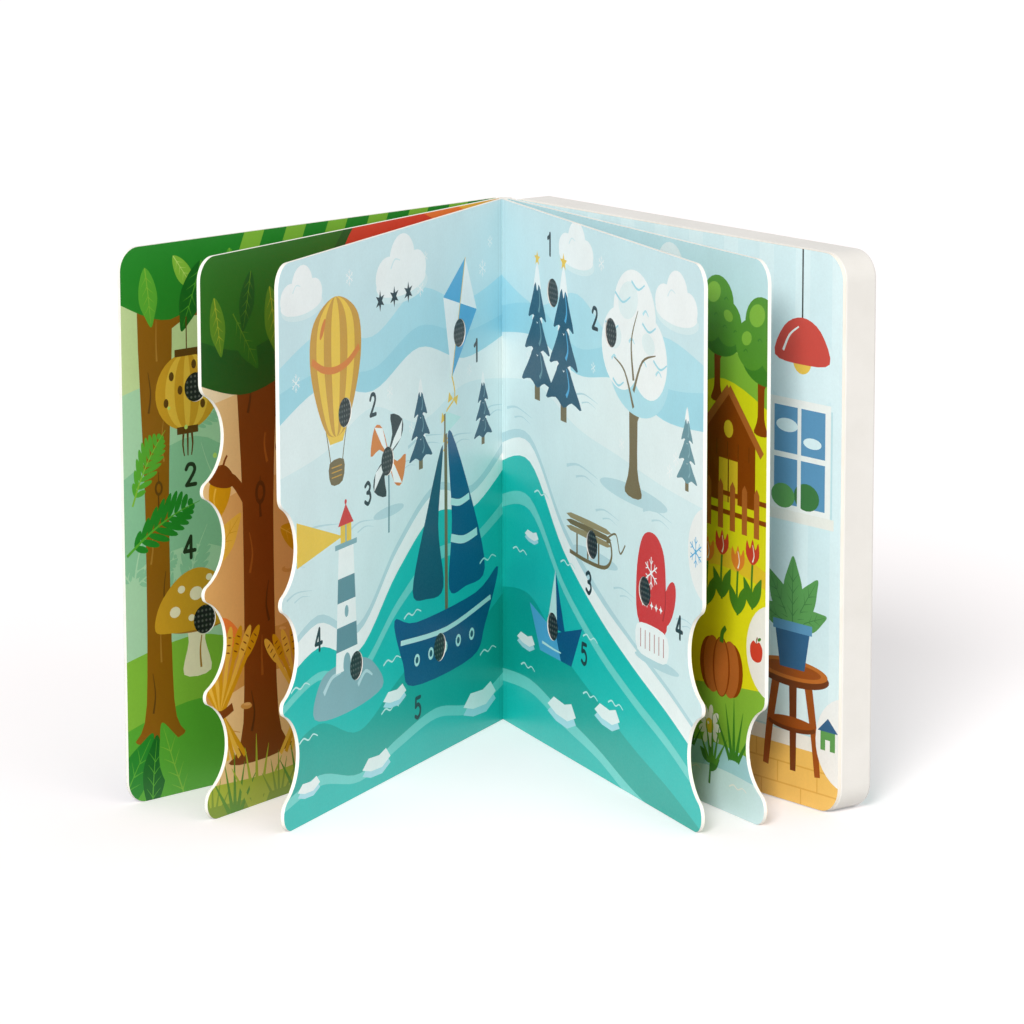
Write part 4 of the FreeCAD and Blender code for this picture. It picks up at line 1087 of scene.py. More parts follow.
digits = {
    1: [[(-0.2, 0.26), (-0.02, 0.36), (0.06, 0.5)], [(0.06, 0.5), (0.06, 0), (0.06, -0.5)]],
    2: [[(-0.27, 0.28), (-0.12, 0.48), (0.16, 0.45), (0.24, 0.2), (0.02, -0.14), (-0.26, -0.46)],
        [(-0.26, -0.46), (0, -0.46), (0.3, -0.46)]],
    3: [[(-0.26, 0.36), (0.02, 0.49), (0.24, 0.3), (0.12, 0.08), (-0.06, 0.03)],
        [(-0.06, 0.03), (0.2, -0.02), (0.28, -0.26), (0.04, -0.49), (-0.28, -0.36)]],
    4: [[(0.1, 0.48), (-0.1, 0.16), (-0.3, -0.18)], [(-0.3, -0.18), (0, -0.18), (0.34, -0.18)],
        [(0.1, 0.48), (0.1, 0), (0.1, -0.5)]],
    5: [[(0.26, 0.46), (0.02, 0.46), (-0.2, 0.46)], [(-0.2, 0.46), (-0.22, 0.25), (-0.24, 0.06)],
        [(-0.24, 0.06), (0.04, 0.14), (0.27, -0.06), (0.22, -0.36), (-0.02, -0.49),
         (-0.28, -0.38)]],
}


def numeral(number, x, z, high):
    # a plain numeral drawn in strokes with round ends
    flat = []
    for run in digits[number]:
        flat.append(turnedTo(stroke(run, 0.19), x, z, 0, high))
        flat += [turnedTo(oval(px, pz, 0.19), x, z, 0, high) for px, pz in (run[0], run[-1])]
    return flat


# Printed pages: the paper's colour, the numerals' colour, where they stand from their
# window, and the motifs

forest = {
    "deep": "#0B6417", "dark": "#1F8222", "mid": "#57A62E", "fresh": "#82B838", "pale": "#BEDA70",
    "mist": "#8CC29A", "haze": "#AAD3AC", "bark": "#8E5A04", "barkDark": "#5E3A06",
    "barkLight": "#A9762A", "ochre": "#D09A22", "honey": "#E7B93E", "cream": "#F3E6C4",
    "rust": "#C65A1E", "ink": "#22301C"}
autumn = {
    "deep": "#0E5A1C", "dark": "#236F1C", "mid": "#5A8F22", "grass": "#A9B832",
    "grassDark": "#7F9A24", "tan": "#E3B06A", "tanLight": "#EFCB90", "tanDark": "#D39A4C",
    "bark": "#7C3C08", "barkDark": "#552804", "barkLight": "#9C571A", "ochre": "#D49C08",
    "gold": "#EBBC44", "red": "#D8432B", "orange": "#EE8238", "cream": "#F5E4BF", "ink": "#33200E"}
winter = {
    "sky": "#CFE7EB", "ice": "#DCEDEE", "snow": "#E8F2F1", "white": "#F6F7F5", "pale": "#B4E0EA",
    "peak": "#A3D8E5", "teal": "#12BDB4", "tealDark": "#00A699", "tealLight": "#72D2CA",
    "foam": "#C9ECE8", "deepBlue": "#00507E", "midBlue": "#52A9D6", "navy": "#124C66",
    "grey": "#8AAEB6", "greyDark": "#678F99", "ochre": "#D09A30", "orange": "#DD7F2C",
    "yellow": "#F1C63F", "brown": "#9C8B63", "brownDark": "#77653F", "red": "#D43030",
    "redDark": "#AB2020", "black": "#23282C", "shade": "#BFDADF", "ink": "#1F2C33"}
field = {
    "sky": "#C8E6EA", "cloud": "#EAF3F2", "shade": "#CFE3E4", "hill": "#86B93A",
    "hillLight": "#9FCA58", "hillDark": "#569428", "yellow": "#E2DE16", "gold": "#E8C62C",
    "goldDark": "#C79A1C", "brown": "#8A3C00", "brownDark": "#642B02", "brownLight": "#B4642A",
    "pond": "#A9D6E0", "pondLight": "#D3EBEE", "red": "#CF3A2A", "orange": "#E8862E",
    "white": "#F3F2EC", "leaf": "#3E7F22", "ink": "#2B2414"}
home = {
    "wall": "#D8ECEE", "wallLight": "#DFF0F1", "wallDark": "#C2DFE3", "wood": "#9A4A08",
    "woodDark": "#6E3204", "woodLight": "#BE6A22", "floor": "#EDBE60", "floorDark": "#DDA746",
    "skirting": "#EFECE2", "white": "#F3F2EC", "blue": "#2E5F86", "blueLight": "#5C93B8",
    "red": "#D0473A", "yellow": "#F0C34A", "green": "#5C9A50", "greenDark": "#3B7438",
    "knob": "#E6C27A", "ink": "#2A2A28"}


def pageOne(c=forest):
    art = [
        (c["haze"], band(150, 158, 149, 160, 150)),
        (c["mist"], band(118, 132, 112, 126, 130, 118)), (c["haze"], band(84, 92, 80, 96, 88, 92))]
    for x in (64, 92, 158, 176):
        art += [(c["mist"], panel(x, 40, 7, 150)), (c["haze"], panel(x + 1.5, 40, 1.4, 150))]
    for x, z, s in (
        (30, 134, 30), (52, 104, 36), (4, 80, 30), (28, 66, 34), (150, 120, 34), (100, 60, 30)):
        art += fern(x, z, s, 70, c["mist"], c["haze"]) + fern(
            x, z, s * 0.8, 20, c["mist"], c["haze"])
        art += fern(x, z, s * 0.8, 120, c["mist"], c["haze"])
    art += [(c["fresh"], band(52, 58, 48, 52, 60, 50)), (c["mid"], band(26, 34, 24, 30, 22, 28))]
    art += trunkUp(16, 22, 196, 13, c["bark"], c["barkDark"], c["barkLight"])
    art += trunkUp(112, 24, 196, 15, c["bark"], c["barkDark"], c["barkLight"])
    art += [
        (c["bark"], stroke([(18, 172), (34, 178), (52, 174), (70, 180)], 4.4, 0.7)),
        (c["bark"], stroke([(112, 150), (134, 170), (152, 176)], 5, 0.7))]
    art += fern(1, 92, 38, 24, c["dark"], c["mid"]) + fern(4, 110, 30, 58, c["mid"], c["fresh"])
    art += fern(60, 70, 44, 40, c["dark"], c["mid"]) + fern(177, 68, 34, 110, c["mid"], c["fresh"])
    art += fern(92, 60, 36, 70, c["mid"], c["fresh"]) + fern(184, 96, 36, 150, c["dark"], c["mid"])
    art += [(c["dark"], ceiling(186, 176, 190, 172, 186, 178, 188, 176))]
    for k in range(7):
        art.append((c["fresh"], turnedTo(panel(0, 0, 9, 30), 52 + 21 * k, 186, -24)))
    for k in range(15):
        art += leafBlade(
            -2 + 13.6 * k, 199 - 3 * (k % 2), 27 - 5 * (k % 3), -112 + 29 * (k % 3),
            (c["deep"], c["mid"], c["fresh"])[k % 3], (c["mid"], c["fresh"], c["pale"])[k % 3])
    art += lantern(31, 149, 34, c["ochre"], c["honey"], c["barkDark"])
    art += lantern(138.7, 158, 30, c["rust"], c["honey"], c["barkDark"])
    art += mushroom(34, 44, 40, c["ochre"], c["cream"], c["cream"], c["barkLight"])
    art += mushroom(122, 62, 46, c["rust"], c["cream"], c["cream"], c["barkLight"])
    art += mushroom(84, 34, 26, c["honey"], c["cream"], c["cream"], c["barkLight"])
    art += mushroom(160, 30, 34, c["ochre"], c["cream"], c["cream"], c["barkLight"])
    for k in range(12):
        art += leafBlade(
            -6 + 17 * k, -4, 34 - 6 * (k % 2), 58 + 26 * (k % 3),
            (c["dark"], c["deep"], c["mid"])[k % 3], (c["mid"], c["mid"], c["fresh"])[k % 3])
    return art + scatter(dot, 3, 16, (20, 60, 180, 160), (1.0, 2.2), c["pale"])


def pageTwo(c=forest):
    art = [
        (c["haze"], band(150, 156, 162, 150, 158)), (c["mist"], band(120, 108, 124, 114, 126)),
        (c["fresh"], band(50, 60, 46, 58, 52)), (c["mid"], band(24, 18, 30, 22, 28))]
    art += tree(80, 82, 92, c["fresh"], c["pale"], c["dark"], c["bark"])
    art += tree(150, 50, 70, c["mid"], c["fresh"], c["deep"], c["bark"])
    art += tree(22, 66, 60, c["mid"], c["fresh"], c["deep"], c["bark"])
    art += [(c["dark"], ceiling(182, 190, 178, 190, 184, 192))]
    for k in range(13):
        art += leafBlade(
            2 + 15 * k, 200, 26 - 5 * (k % 2), -118 + 31 * (k % 3),
            (c["deep"], c["fresh"], c["mid"])[k % 3], (c["mid"], c["pale"], c["fresh"])[k % 3])
    art += lantern(104.5, 161, 28, c["honey"], c["ochre"], c["barkDark"])
    art += sun(148.2, 172, 30, c["honey"], c["ochre"])
    art += mushroom(44, 40, 40, c["rust"], c["cream"], c["cream"], c["barkLight"])
    art += flower(114, 12, 40, c["cream"], c["ochre"], c["deep"])
    art += fern(60, 26, 40, 30, c["dark"], c["mid"]) + fern(
        184, 30, 42, 130, c["dark"], c["fresh"])
    for k in range(10):
        art += leafBlade(
            4 + 20 * k, -4, 30, 64 + 22 * (k % 3), (c["deep"], c["dark"])[k % 2], c["mid"])
    return art + tabOn(176.6, leafBlade(178.5, 174.5, 9, 30, c["mid"], c["pale"]))


def pageThree(c=autumn):
    art = [
        (c["red"], ceiling(206, 200, 180, 178, 176, 178)),
        (c["tanLight"], band(150, 154, 148, 156, 150)), (c["tan"], band(112, 120, 108, 116, 110)),
        (c["tanDark"], band(72, 64, 74, 62, 70)), (c["tanLight"], band(40, 48, 38, 44, 40)),
        (c["grass"], band(13, 10, 14, 11, 13)), (c["grassDark"], band(5, 3, 6, 4, 5))]
    for k in range(9):
        art.append((c["tanDark"], stroke([
            (4 + 22 * k, 30 - 5 * (k % 3)), (12 + 22 * k, 31 - 5 * (k % 3)),
            (20 + 22 * k, 29 - 5 * (k % 3))], 0.9, 0.7)))
    art += tree(76, 74, 66, c["gold"], c["tanLight"], c["ochre"], c["bark"])
    art += tree(168, 84, 58, c["orange"], c["gold"], c["red"], c["bark"])
    art += trunkUp(33, 18, 200, 21, c["bark"], c["barkDark"], c["barkLight"])
    art += [
        (c["bark"], stroke([(36, 138), (52, 152), (72, 158), (92, 170)], 7, 0.7)),
        (c["bark"], stroke([(30, 108), (18, 122), (6, 126), (-4, 132)], 5, 0.6))]
    art += [
        (c["deep"], ceiling(160, 152, 164, 206, 216, 216, 216)),
        (c["dark"], ceiling(176, 168, 180, 210, 216, 216, 216))]
    for k in range(7):
        art += leafBlade(
            -3 + 11 * k, 196 - 7 * (k % 3), 26 - 4 * (k % 2), -104 + 24 * (k % 3),
            (c["deep"], c["mid"], c["dark"])[k % 3], (c["mid"], c["grass"], c["mid"])[k % 3])
    for x, z in ((6, 72), (18, 50), (50, 84), (24, 38), (52, 46), (46, 62), (8, 46)):
        art += [
            (c["tanDark"], oval(x, z, 7, 2.4, -8)),
            (c["tan"], oval(x + 0.6, z + 0.6, 4.4, 1.2, -8))]
    art += acorn(10, 120, 22, c["ochre"], c["bark"], c["gold"], -14)
    art += acorn(50, 128, 18, c["ochre"], c["bark"], c["gold"], 10)
    art += leafBlade(3, 92, 26, 42, c["gold"], c["ochre"]) + leafBlade(
        22, 62, 24, 152, c["orange"], c["ochre"])
    art += leafBlade(
        46, 100, 24, -28, c["ochre"], c["gold"]) + leafBlade(52, 66, 24, 24, c["gold"], c["ochre"])
    for k in range(7):
        art += [
            ((c["orange"], c["gold"])[k % 2], oval(94 + 16 * k, 178, 16, 15)),
            (c["red"], panel(86 + 16 * k, 178, 16, 10))]
    art += [
        (c["orange"], ceiling(216, 216, 216, 216, 208, 194, 182)),
        (c["gold"], ceiling(216, 216, 216, 216, 216, 204, 190))]
    art += sun(100.7, 172, 30, c["gold"], c["orange"])
    art += kite(152, 152, 42, c["gold"], c["red"], c["bark"])
    art += pumpkin(114, 98, 40, c["orange"], c["red"], c["grassDark"])
    art += basketOf(148, 26, 46, c["barkLight"], c["barkDark"], c["red"], c["cream"])
    art += pumpkin(91, 30, 34, c["orange"], c["ochre"], c["bark"])
    art += sheaf(9, 20, 46, c["ochre"], c["gold"], c["bark"]) + sheaf(
        58, 16, 44, c["gold"], c["ochre"], c["bark"])
    for k in range(15):
        art += tuft(
            3 + 13.4 * k, -1, 17 + 4 * (k % 3), (c["grassDark"], c["mid"], c["grass"])[k % 3])
    return art


def pageFour(c=autumn):
    art = [
        (c["tanLight"], band(160, 150, 158, 148, 156)), (c["tan"], band(118, 126, 112, 120, 116)),
        (c["tanDark"], band(70, 78, 66, 76, 70)), (c["grass"], band(32, 38, 28, 36, 30)),
        (c["grassDark"], band(12, 16, 11, 17, 12))]
    art += sun(57, 170, 44, c["gold"], c["orange"]) + cloud(150, 186, 40, c["tanLight"], c["tan"])
    art += tree(30, 96, 60, c["orange"], c["gold"], c["red"], c["bark"])
    art += tree(160, 92, 64, c["gold"], c["tanLight"], c["ochre"], c["bark"])
    art += kite(125.4, 160, 44, c["red"], c["orange"], c["bark"], -14)
    art += pumpkin(110, 88, 42, c["orange"], c["red"], c["grassDark"])
    art += acorn(47.5, 104, 34, c["ochre"], c["bark"], c["gold"], 8)
    art += basketOf(68.4, 18, 46, c["barkLight"], c["barkDark"], c["red"], c["cream"])
    art += sheaf(
        128, 16, 48, c["gold"], c["ochre"], c["bark"]
    ) + sheaf(24, 14, 40, c["ochre"], c["gold"], c["bark"])
    art += fence(146, 22, 50, 24, c["cream"], c["tanDark"])
    for k in range(15):
        art += tuft(
            3 + 13.4 * k, -1, 16 + 4 * (k % 3), (c["grassDark"], c["mid"], c["grass"])[k % 3])
    return art + tabOn(139.1, acorn(184, 139.5, 10, c["ochre"], c["bark"], c["gold"]))


def pageFive(c=winter):
    art = [
        (c["pale"], band(166, 176, 168, 180, 170, 176)),
        (c["peak"], band(158, 162, 156, 166, 158, 160)),
        (c["snow"], band(146, 156, 148, 158, 148, 152)),
        (c["ice"], band(128, 132, 142, 130, 138, 134))]
    art += cloud(100, 187, 44, c["white"], c["ice"]) + cloud(18, 190, 34, c["white"], c["ice"])
    art += [
        (c["shade"], band(62, 74, 64, 88, 104, 98, 112)),
        (c["white"], band(60, 71, 61, 85, 101, 95, 108)),
        (c["teal"], band(52, 62, 54, 77, 93, 89, 101)),
        (c["tealLight"], band(45, 53, 47, 66, 79, 78, 88)),
        (c["teal"], band(42, 50, 43, 62, 74, 74, 83)),
        (c["tealDark"], band(26, 34, 24, 36, 46, 42, 52)),
        (c["tealLight"], band(10, 15, 8, 14, 18, 13, 20)),
        (c["teal"], band(7, 11, 5, 10, 14, 9, 15))]
    art += scatter(snowflake, 5, 11, (8, 128, 182, 198), (4, 7), c["white"])
    for x, z, s in (
        (8, 96, 26), (30, 104, 34), (66, 100, 22), (120, 122, 30), (150, 118, 24), (182, 124, 22),
        (14, 84, 20), (104, 116, 18)):
        art += drift(x, z, s, c["shade"])
    art += lighthouse(
        52, 44, 64, c["white"], c["greyDark"], c["red"], c["grey"], c["shade"], c["yellow"])
    art += balloon(45, 161, 52, c["ochre"], c["yellow"], c["orange"], c["brownDark"])
    art += kite(150, 164, 46, c["white"], c["midBlue"], c["yellow"], -16)
    art += [(c["shade"], oval(88, 101, 26, 4))]
    art += pinwheel(88, 122, 34, c["black"], c["orange"], c["white"], c["greyDark"])
    art += pine(116, 112, 34, c["navy"], c["greyDark"], c["white"], c["brownDark"])
    art += pine(172, 112, 28, c["navy"], c["greyDark"], c["white"], c["brownDark"])
    art += ship(138, 44, 88, c["deepBlue"], c["foam"], c["deepBlue"], c["navy"], c["brownDark"])
    for x, z in ((20, 30), (88, 26), (108, 58), (176, 30), (90, 44), (14, 50), (176, 66)):
        art += ripple(x, z, 15, c["foam"])
    for x, z, s in ((92, 30, 20), (76, 8, 24), (168, 12, 30), (20, 12, 18)):
        art += floe(x, z, s, c["white"], c["pale"])
    for x in (82, 94, 106):
        art += star(x, 180, 8, c["ink"], 6, 0.4)
    return art


def pageSix(c=winter):
    art = [
        (c["pale"], band(176, 168, 178, 164, 174, 168)),
        (c["peak"], band(162, 168, 158, 164, 156, 160)),
        (c["snow"], band(152, 156, 148, 152, 144, 146)),
        (c["ice"], band(134, 138, 128, 124, 120, 118))]
    art += cloud(74, 193, 34, c["white"], c["ice"]) + cloud(166, 186, 38, c["white"], c["ice"])
    art += [
        (c["shade"], band(112, 117, 89, 71, 58, 47, 34)),
        (c["white"], band(108, 114, 86, 68, 56, 45, 32)),
        (c["teal"], band(101, 107, 79, 61, 48, 37, 24)),
        (c["tealLight"], band(88, 93, 67, 50, 38, 28, 15)),
        (c["teal"], band(83, 88, 63, 46, 34, 24, 11)),
        (c["tealDark"], band(52, 55, 39, 28, 18, 10, 0)),
        (c["tealLight"], band(20, 22, 16, 10, 2, -3, -4)),
        (c["teal"], band(15, 17, 11, 6, -2, -4, -4))]
    art += scatter(snowflake, 9, 9, (10, 126, 184, 198), (4, 7), c["white"])
    for x, z, s in (
        (18, 124, 26), (80, 112, 30), (104, 100, 22), (150, 108, 26), (120, 74, 20), (176, 74, 18),
        (84, 140, 22)):
        art += drift(x, z, s, c["shade"])
    art += pine(36, 132, 52, c["navy"], c["greyDark"], c["white"], c["brownDark"])
    art += pine(62, 128, 58, c["navy"], c["midBlue"], c["white"], c["brownDark"])
    art += star(62, 188, 7, c["yellow"], 5) + star(36, 186, 6, c["yellow"], 5)
    art += [(c["shade"], oval(128, 112, 62, 7))]
    art += tree(128, 112, 84, c["white"], c["snow"], c["pale"], c["brownDark"])
    for points in (
        [(128, 144), (120, 156), (110, 160)], [(128, 150), (136, 162), (148, 166)],
        [(128, 154), (126, 168), (132, 180)]):
        art.append((c["brownDark"], stroke(points, 1.8, 0.8)))
    for x, z, s in (
        (108, 172, 12), (118, 184, 14), (142, 176, 12), (152, 164, 12), (132, 190, 12),
        (114, 152, 10)):
        art.append((
            c["peak"], stroke([(x - 0.5 * s, z), (x, z - 0.2 * s), (x + 0.5 * s, z)], 1.0, 0.4)))
    art += [(c["shade"], oval(92, 82, 44, 5))]
    art += sled(88, 80, 40, c["brown"], c["brownDark"], c["brownDark"])
    art += [(c["shade"], oval(150, 54, 40, 4))]
    art += mitten(146, 56, 46, c["red"], c["white"], c["white"], c["redDark"])
    art += paperBoat(54, 44, 52, c["midBlue"], c["foam"], c["deepBlue"])
    for x, z in ((18, 70), (26, 26), (88, 28), (112, 30), (66, 74), (40, 96), (88, 50)):
        art += ripple(x, z, 14, c["foam"])
    for x, z, s in ((104, 24, 24), (24, 36, 18), (60, 16, 28), (30, 78, 14)):
        art += floe(x, z, s, c["white"], c["pale"])
    art += pine(176, 122, 30, c["greyDark"], c["grey"], c["white"], c["brownDark"])
    return art + tabOn(101.6, snowflake(184, 101.6, 11, c["midBlue"]))


def pageSeven(c=field):
    art = [
        (c["hillLight"], band(150, 160, 148, 156, 150)),
        (c["hill"], band(128, 120, 132, 122, 130)), (c["yellow"], band(96, 104, 92, 100, 94)),
        (c["gold"], band(64, 58, 68, 60, 66)), (c["hill"], band(32, 38, 28, 34, 30)),
        (c["hillDark"], band(12, 15, 10, 14, 12))]
    art += cloud(34, 184, 44, c["cloud"], c["shade"]) + cloud(150, 188, 36, c["cloud"], c["shade"])
    art += shed(72, 130, 52, c["red"], c["white"], c["brownDark"], c["white"])
    art += tree(140, 112, 60, c["hill"], c["hillLight"], c["hillDark"], c["brown"])
    art += tree(22, 118, 46, c["hill"], c["hillLight"], c["hillDark"], c["brown"])
    art += sheaf(
        98.8, 42, 50, c["goldDark"], c["gold"], c["brown"]
    ) + fence(6, 76, 60, 22, c["white"], c["shade"])
    art += basketOf(155.8, 34, 48, c["brownLight"], c["brownDark"], c["red"], c["white"])
    for k in range(6):
        art += tulip(
            14 + 11 * k, 26 + 3 * (k % 2), 26, (c["red"], c["orange"])[k % 2], c["white"],
            c["leaf"])
    for k in range(15):
        art += tuft(3 + 13.4 * k, -1, 16 + 4 * (k % 3), (c["hillDark"], c["leaf"])[k % 2])
    return art


def pageEight(c=field):
    art = [
        (c["hillLight"], band(162, 156, 170, 162, 182, 172)),
        (c["hill"], band(150, 156, 148, 158, 170, 162)),
        (c["yellow"], band(138, 130, 142, 136, 158, 150)),
        (c["gold"], band(92, 84, 92, 84, 98, 92)), (c["yellow"], band(84, 76, 84, 78, 90, 86)),
        (c["hill"], band(46, 40, 50, 42, 46, 50)), (c["pond"], band(10, 14, 12, 18, 24, 22)),
        (c["pondLight"], band(2, 6, 3, 9, 15, 13))]
    art += cloud(122, 190, 36, c["cloud"], c["shade"]) + cloud(30, 186, 40, c["cloud"], c["shade"])
    art += tree(156, 150, 46, c["hillDark"], c["hill"], c["leaf"], c["brown"])
    art += tree(186, 142, 50, c["hillDark"], c["hill"], c["leaf"], c["brown"])
    art += shed(46, 136, 54, c["brown"], c["white"], c["brownDark"], c["gold"])
    art += tree(98.8, 116, 54, c["hill"], c["hillLight"], c["hillDark"], c["brown"])
    art += shed(164, 114, 46, c["brown"], c["brownLight"], c["brownDark"], c["gold"])
    art += fence(124, 104, 66, 18, c["brownLight"], c["brown"])
    art += pumpkin(57, 86, 34, c["orange"], c["red"], c["leaf"])
    art += basketOf(110, 50, 46, c["brownLight"], c["brownDark"], c["red"], c["white"])
    for k, x in enumerate((150, 160, 171, 181)):
        art += tulip(
            x, 74 + 4 * (k % 2), 26, (c["orange"], c["red"])[k % 2], c["white"], c["leaf"])
    art += pumpkin(160, 53, 30, c["brownLight"], c["brown"], c["leaf"])
    art += flower(41.8, 6, 40, c["white"], c["gold"], c["leaf"])
    art += flower(
        78, 12, 32, c["orange"], c["brown"], c["leaf"]
    ) + flower(152, 8, 30, c["white"], c["gold"], c["leaf"])
    for k in range(13):
        art += tuft(
            4 + 15 * k, 16 + 4 * (k % 2), 13 + 4 * (k % 3), (c["hillDark"], c["leaf"])[k % 2])
    for x, z in ((30, 6), (100, 8), (140, 12), (172, 10)):
        art += ripple(x, z, 12, c["white"])
    return art + tabOn(64.1, apple(184, 63.6, 10, c["red"], c["leaf"], c["brown"]))


def room9and10(c):
    art = []
    for k in range(10):
        art.append((c["wallLight"], panel(4 + 20 * k, 26, 8, 182)))
    art += [
        (c["floor"], panel(-5, -5, 200, 27)), (c["floorDark"], panel(-5, 14, 200, 0.6)),
        (c["floorDark"], panel(-5, 6, 200, 0.6)), (c["skirting"], panel(-5, 21, 200, 6)),
        (c["wallDark"], panel(-5, 26.4, 200, 0.7))]
    for k in range(9):
        art += [
            (c["floorDark"], panel(12 + 22 * k, 14, 0.6, 7)),
            (c["floorDark"], panel(2 + 22 * k, 6, 0.6, 8)),
            (c["floorDark"], panel(15 + 22 * k, -5, 0.6, 11))]
    return art


def pageNine(c=home):
    art = room9and10(c)
    art += picture(
        68.4, 165, 44, 38, c["white"], c["wallDark"], c["skirting"], c["green"], c["blueLight"],
        c["yellow"])
    art += clock(133, 130, 46, c["wood"], c["white"], c["ink"], c["red"])
    art += [(c["white"], panel(26, 66, 76, 5)), (c["wallDark"], panel(28, 64, 72, 2))]
    art += jar(60.8, 71, 34, c["blue"], c["blueLight"], c["woodDark"], c["red"])
    art += potPlant(88, 71, 30, c["red"], c["wood"], c["green"], c["greenDark"])
    art += lampOn(158, 56, 52, c["yellow"], c["white"], c["wood"]) + chest(
        158, 14, 50, 42, c["wood"], c["woodDark"], c["woodLight"], c["knob"])
    art += ball(121.6, 36, 34, c["red"], c["white"], c["yellow"])
    art += blockPile(46, 10, 30, c["blueLight"], c["red"], c["green"], c["white"])
    return art


def pageTen(c=home):
    art = room9and10(c)
    art += picture(
        49.4, 160, 46, 40, c["white"], c["wallDark"], c["skirting"], c["green"], c["blueLight"],
        c["yellow"])
    art += [
        (c["ink"], panel(167.6, 176, 0.8, 30)), (c["wallLight"], oval(168, 160, 46, 26)),
        (c["yellow"], oval(168, 163, 10, 9)),
        (c["red"], smooth(
            [(153, 164), (158, 175), (168, 179), (178, 175), (183, 164), (168, 162)], True, 4)),
        (c["white"], stroke([(157.5, 166), (161, 172), (166, 175.5)], 1.2, 0.5))]
    art += kite(106.4, 137, 46, c["red"], c["yellow"], c["woodDark"], -12)
    art += [
        (c["wallDark"], panel(151, 105, 34, 42)), (c["white"], panel(150, 107, 34, 42)),
        (c["blueLight"], panel(153, 110, 28, 36)), (c["wallLight"], oval(160, 139, 12, 5)),
        (c["wallLight"], oval(174, 134, 10, 4)), (c["greenDark"], oval(171, 114, 14, 10)),
        (c["green"], oval(158, 113, 13, 9)), (c["white"], panel(165.8, 107, 2, 42)),
        (c["white"], panel(150, 127, 34, 2)), (c["skirting"], panel(148, 104, 38, 4))]
    art += [(c["white"], panel(20, 70, 58, 5)), (c["wallDark"], panel(22, 68, 54, 2))]
    art += lampOn(45.6, 75, 38, c["yellow"], c["white"], c["wood"])
    art += stool(164, 12, 40, c["wood"], c["woodDark"], c["woodLight"])
    art += potPlant(164, 50, 40, c["blue"], c["blueLight"], c["green"], c["greenDark"])
    art += potPlant(132, 20, 40, c["red"], c["wood"], c["green"], c["greenDark"])
    art += blockPile(95, 10, 52, c["blueLight"], c["red"], c["green"], c["white"])
    art += ball(38, 26, 32, c["red"], c["white"], c["yellow"])
    return art + tabOn(26.6, [
        (home["green"], panel(180, 23, 8, 7)),
        (home["blue"], [(178.4, 30), (189.6, 30), (184, 35)]),
        (home["white"], panel(182.6, 23, 2.6, 4))])


def outsideFront(c=winter):
    art = [
        (c["tealLight"], band(150, 160, 146, 158, 148)),
        (c["teal"], band(110, 120, 104, 116, 108)), (c["deepBlue"], band(64, 72, 58, 70, 62)),
        (c["navy"], band(26, 32, 22, 30, 24))]
    art += scatter(star, 12, 12, (8, 182, 118, 200), (3, 6), c["white"])
    art += sun(146, 162, 52, c["yellow"], c["orange"]) + cloud(46, 172, 50, c["white"], c["ice"])
    art += balloon(52, 128, 66, c["red"], c["white"], c["yellow"], c["brownDark"])
    art += ship(122, 62, 92, c["ochre"], c["white"], c["white"], c["ice"], c["brownDark"])
    art += paperBoat(
        40, 34, 44, c["white"], c["foam"], c["midBlue"]
    ) + kite(154, 114, 30, c["red"], c["yellow"], c["white"])
    for x, z in ((24, 52), (88, 26), (160, 30), (66, 74), (170, 66), (112, 14), (20, 12)):
        art += ripple(x, z, 18, c["foam"])
    return art


# boxes round the battery door, the grille and the switch: left, low, right, high
backClear = ((9, 18, 56, 93), (56, 32, 92, 69), (33, 102, 51, 117))


def outsideBack(c=winter):
    art = [(c["tealLight"], band(26, 34, 22, 32, 26)), (c["teal"], band(18, 24, 14, 22, 18))]
    for row in range(9):
        for col in range(9):
            x, z = 10 + 21 * col + 10.5 * (row % 2), 46 + 18 * row
            motif = (star, snowflake)[(row + col) % 2]
            if any((left < x < right and low < z < high for left, low, right, high in backClear)):
                continue
            art += motif(x, z, 6.5, (c["teal"], c["midBlue"], c["ochre"])[(row * 2 + col) % 3])
    return art


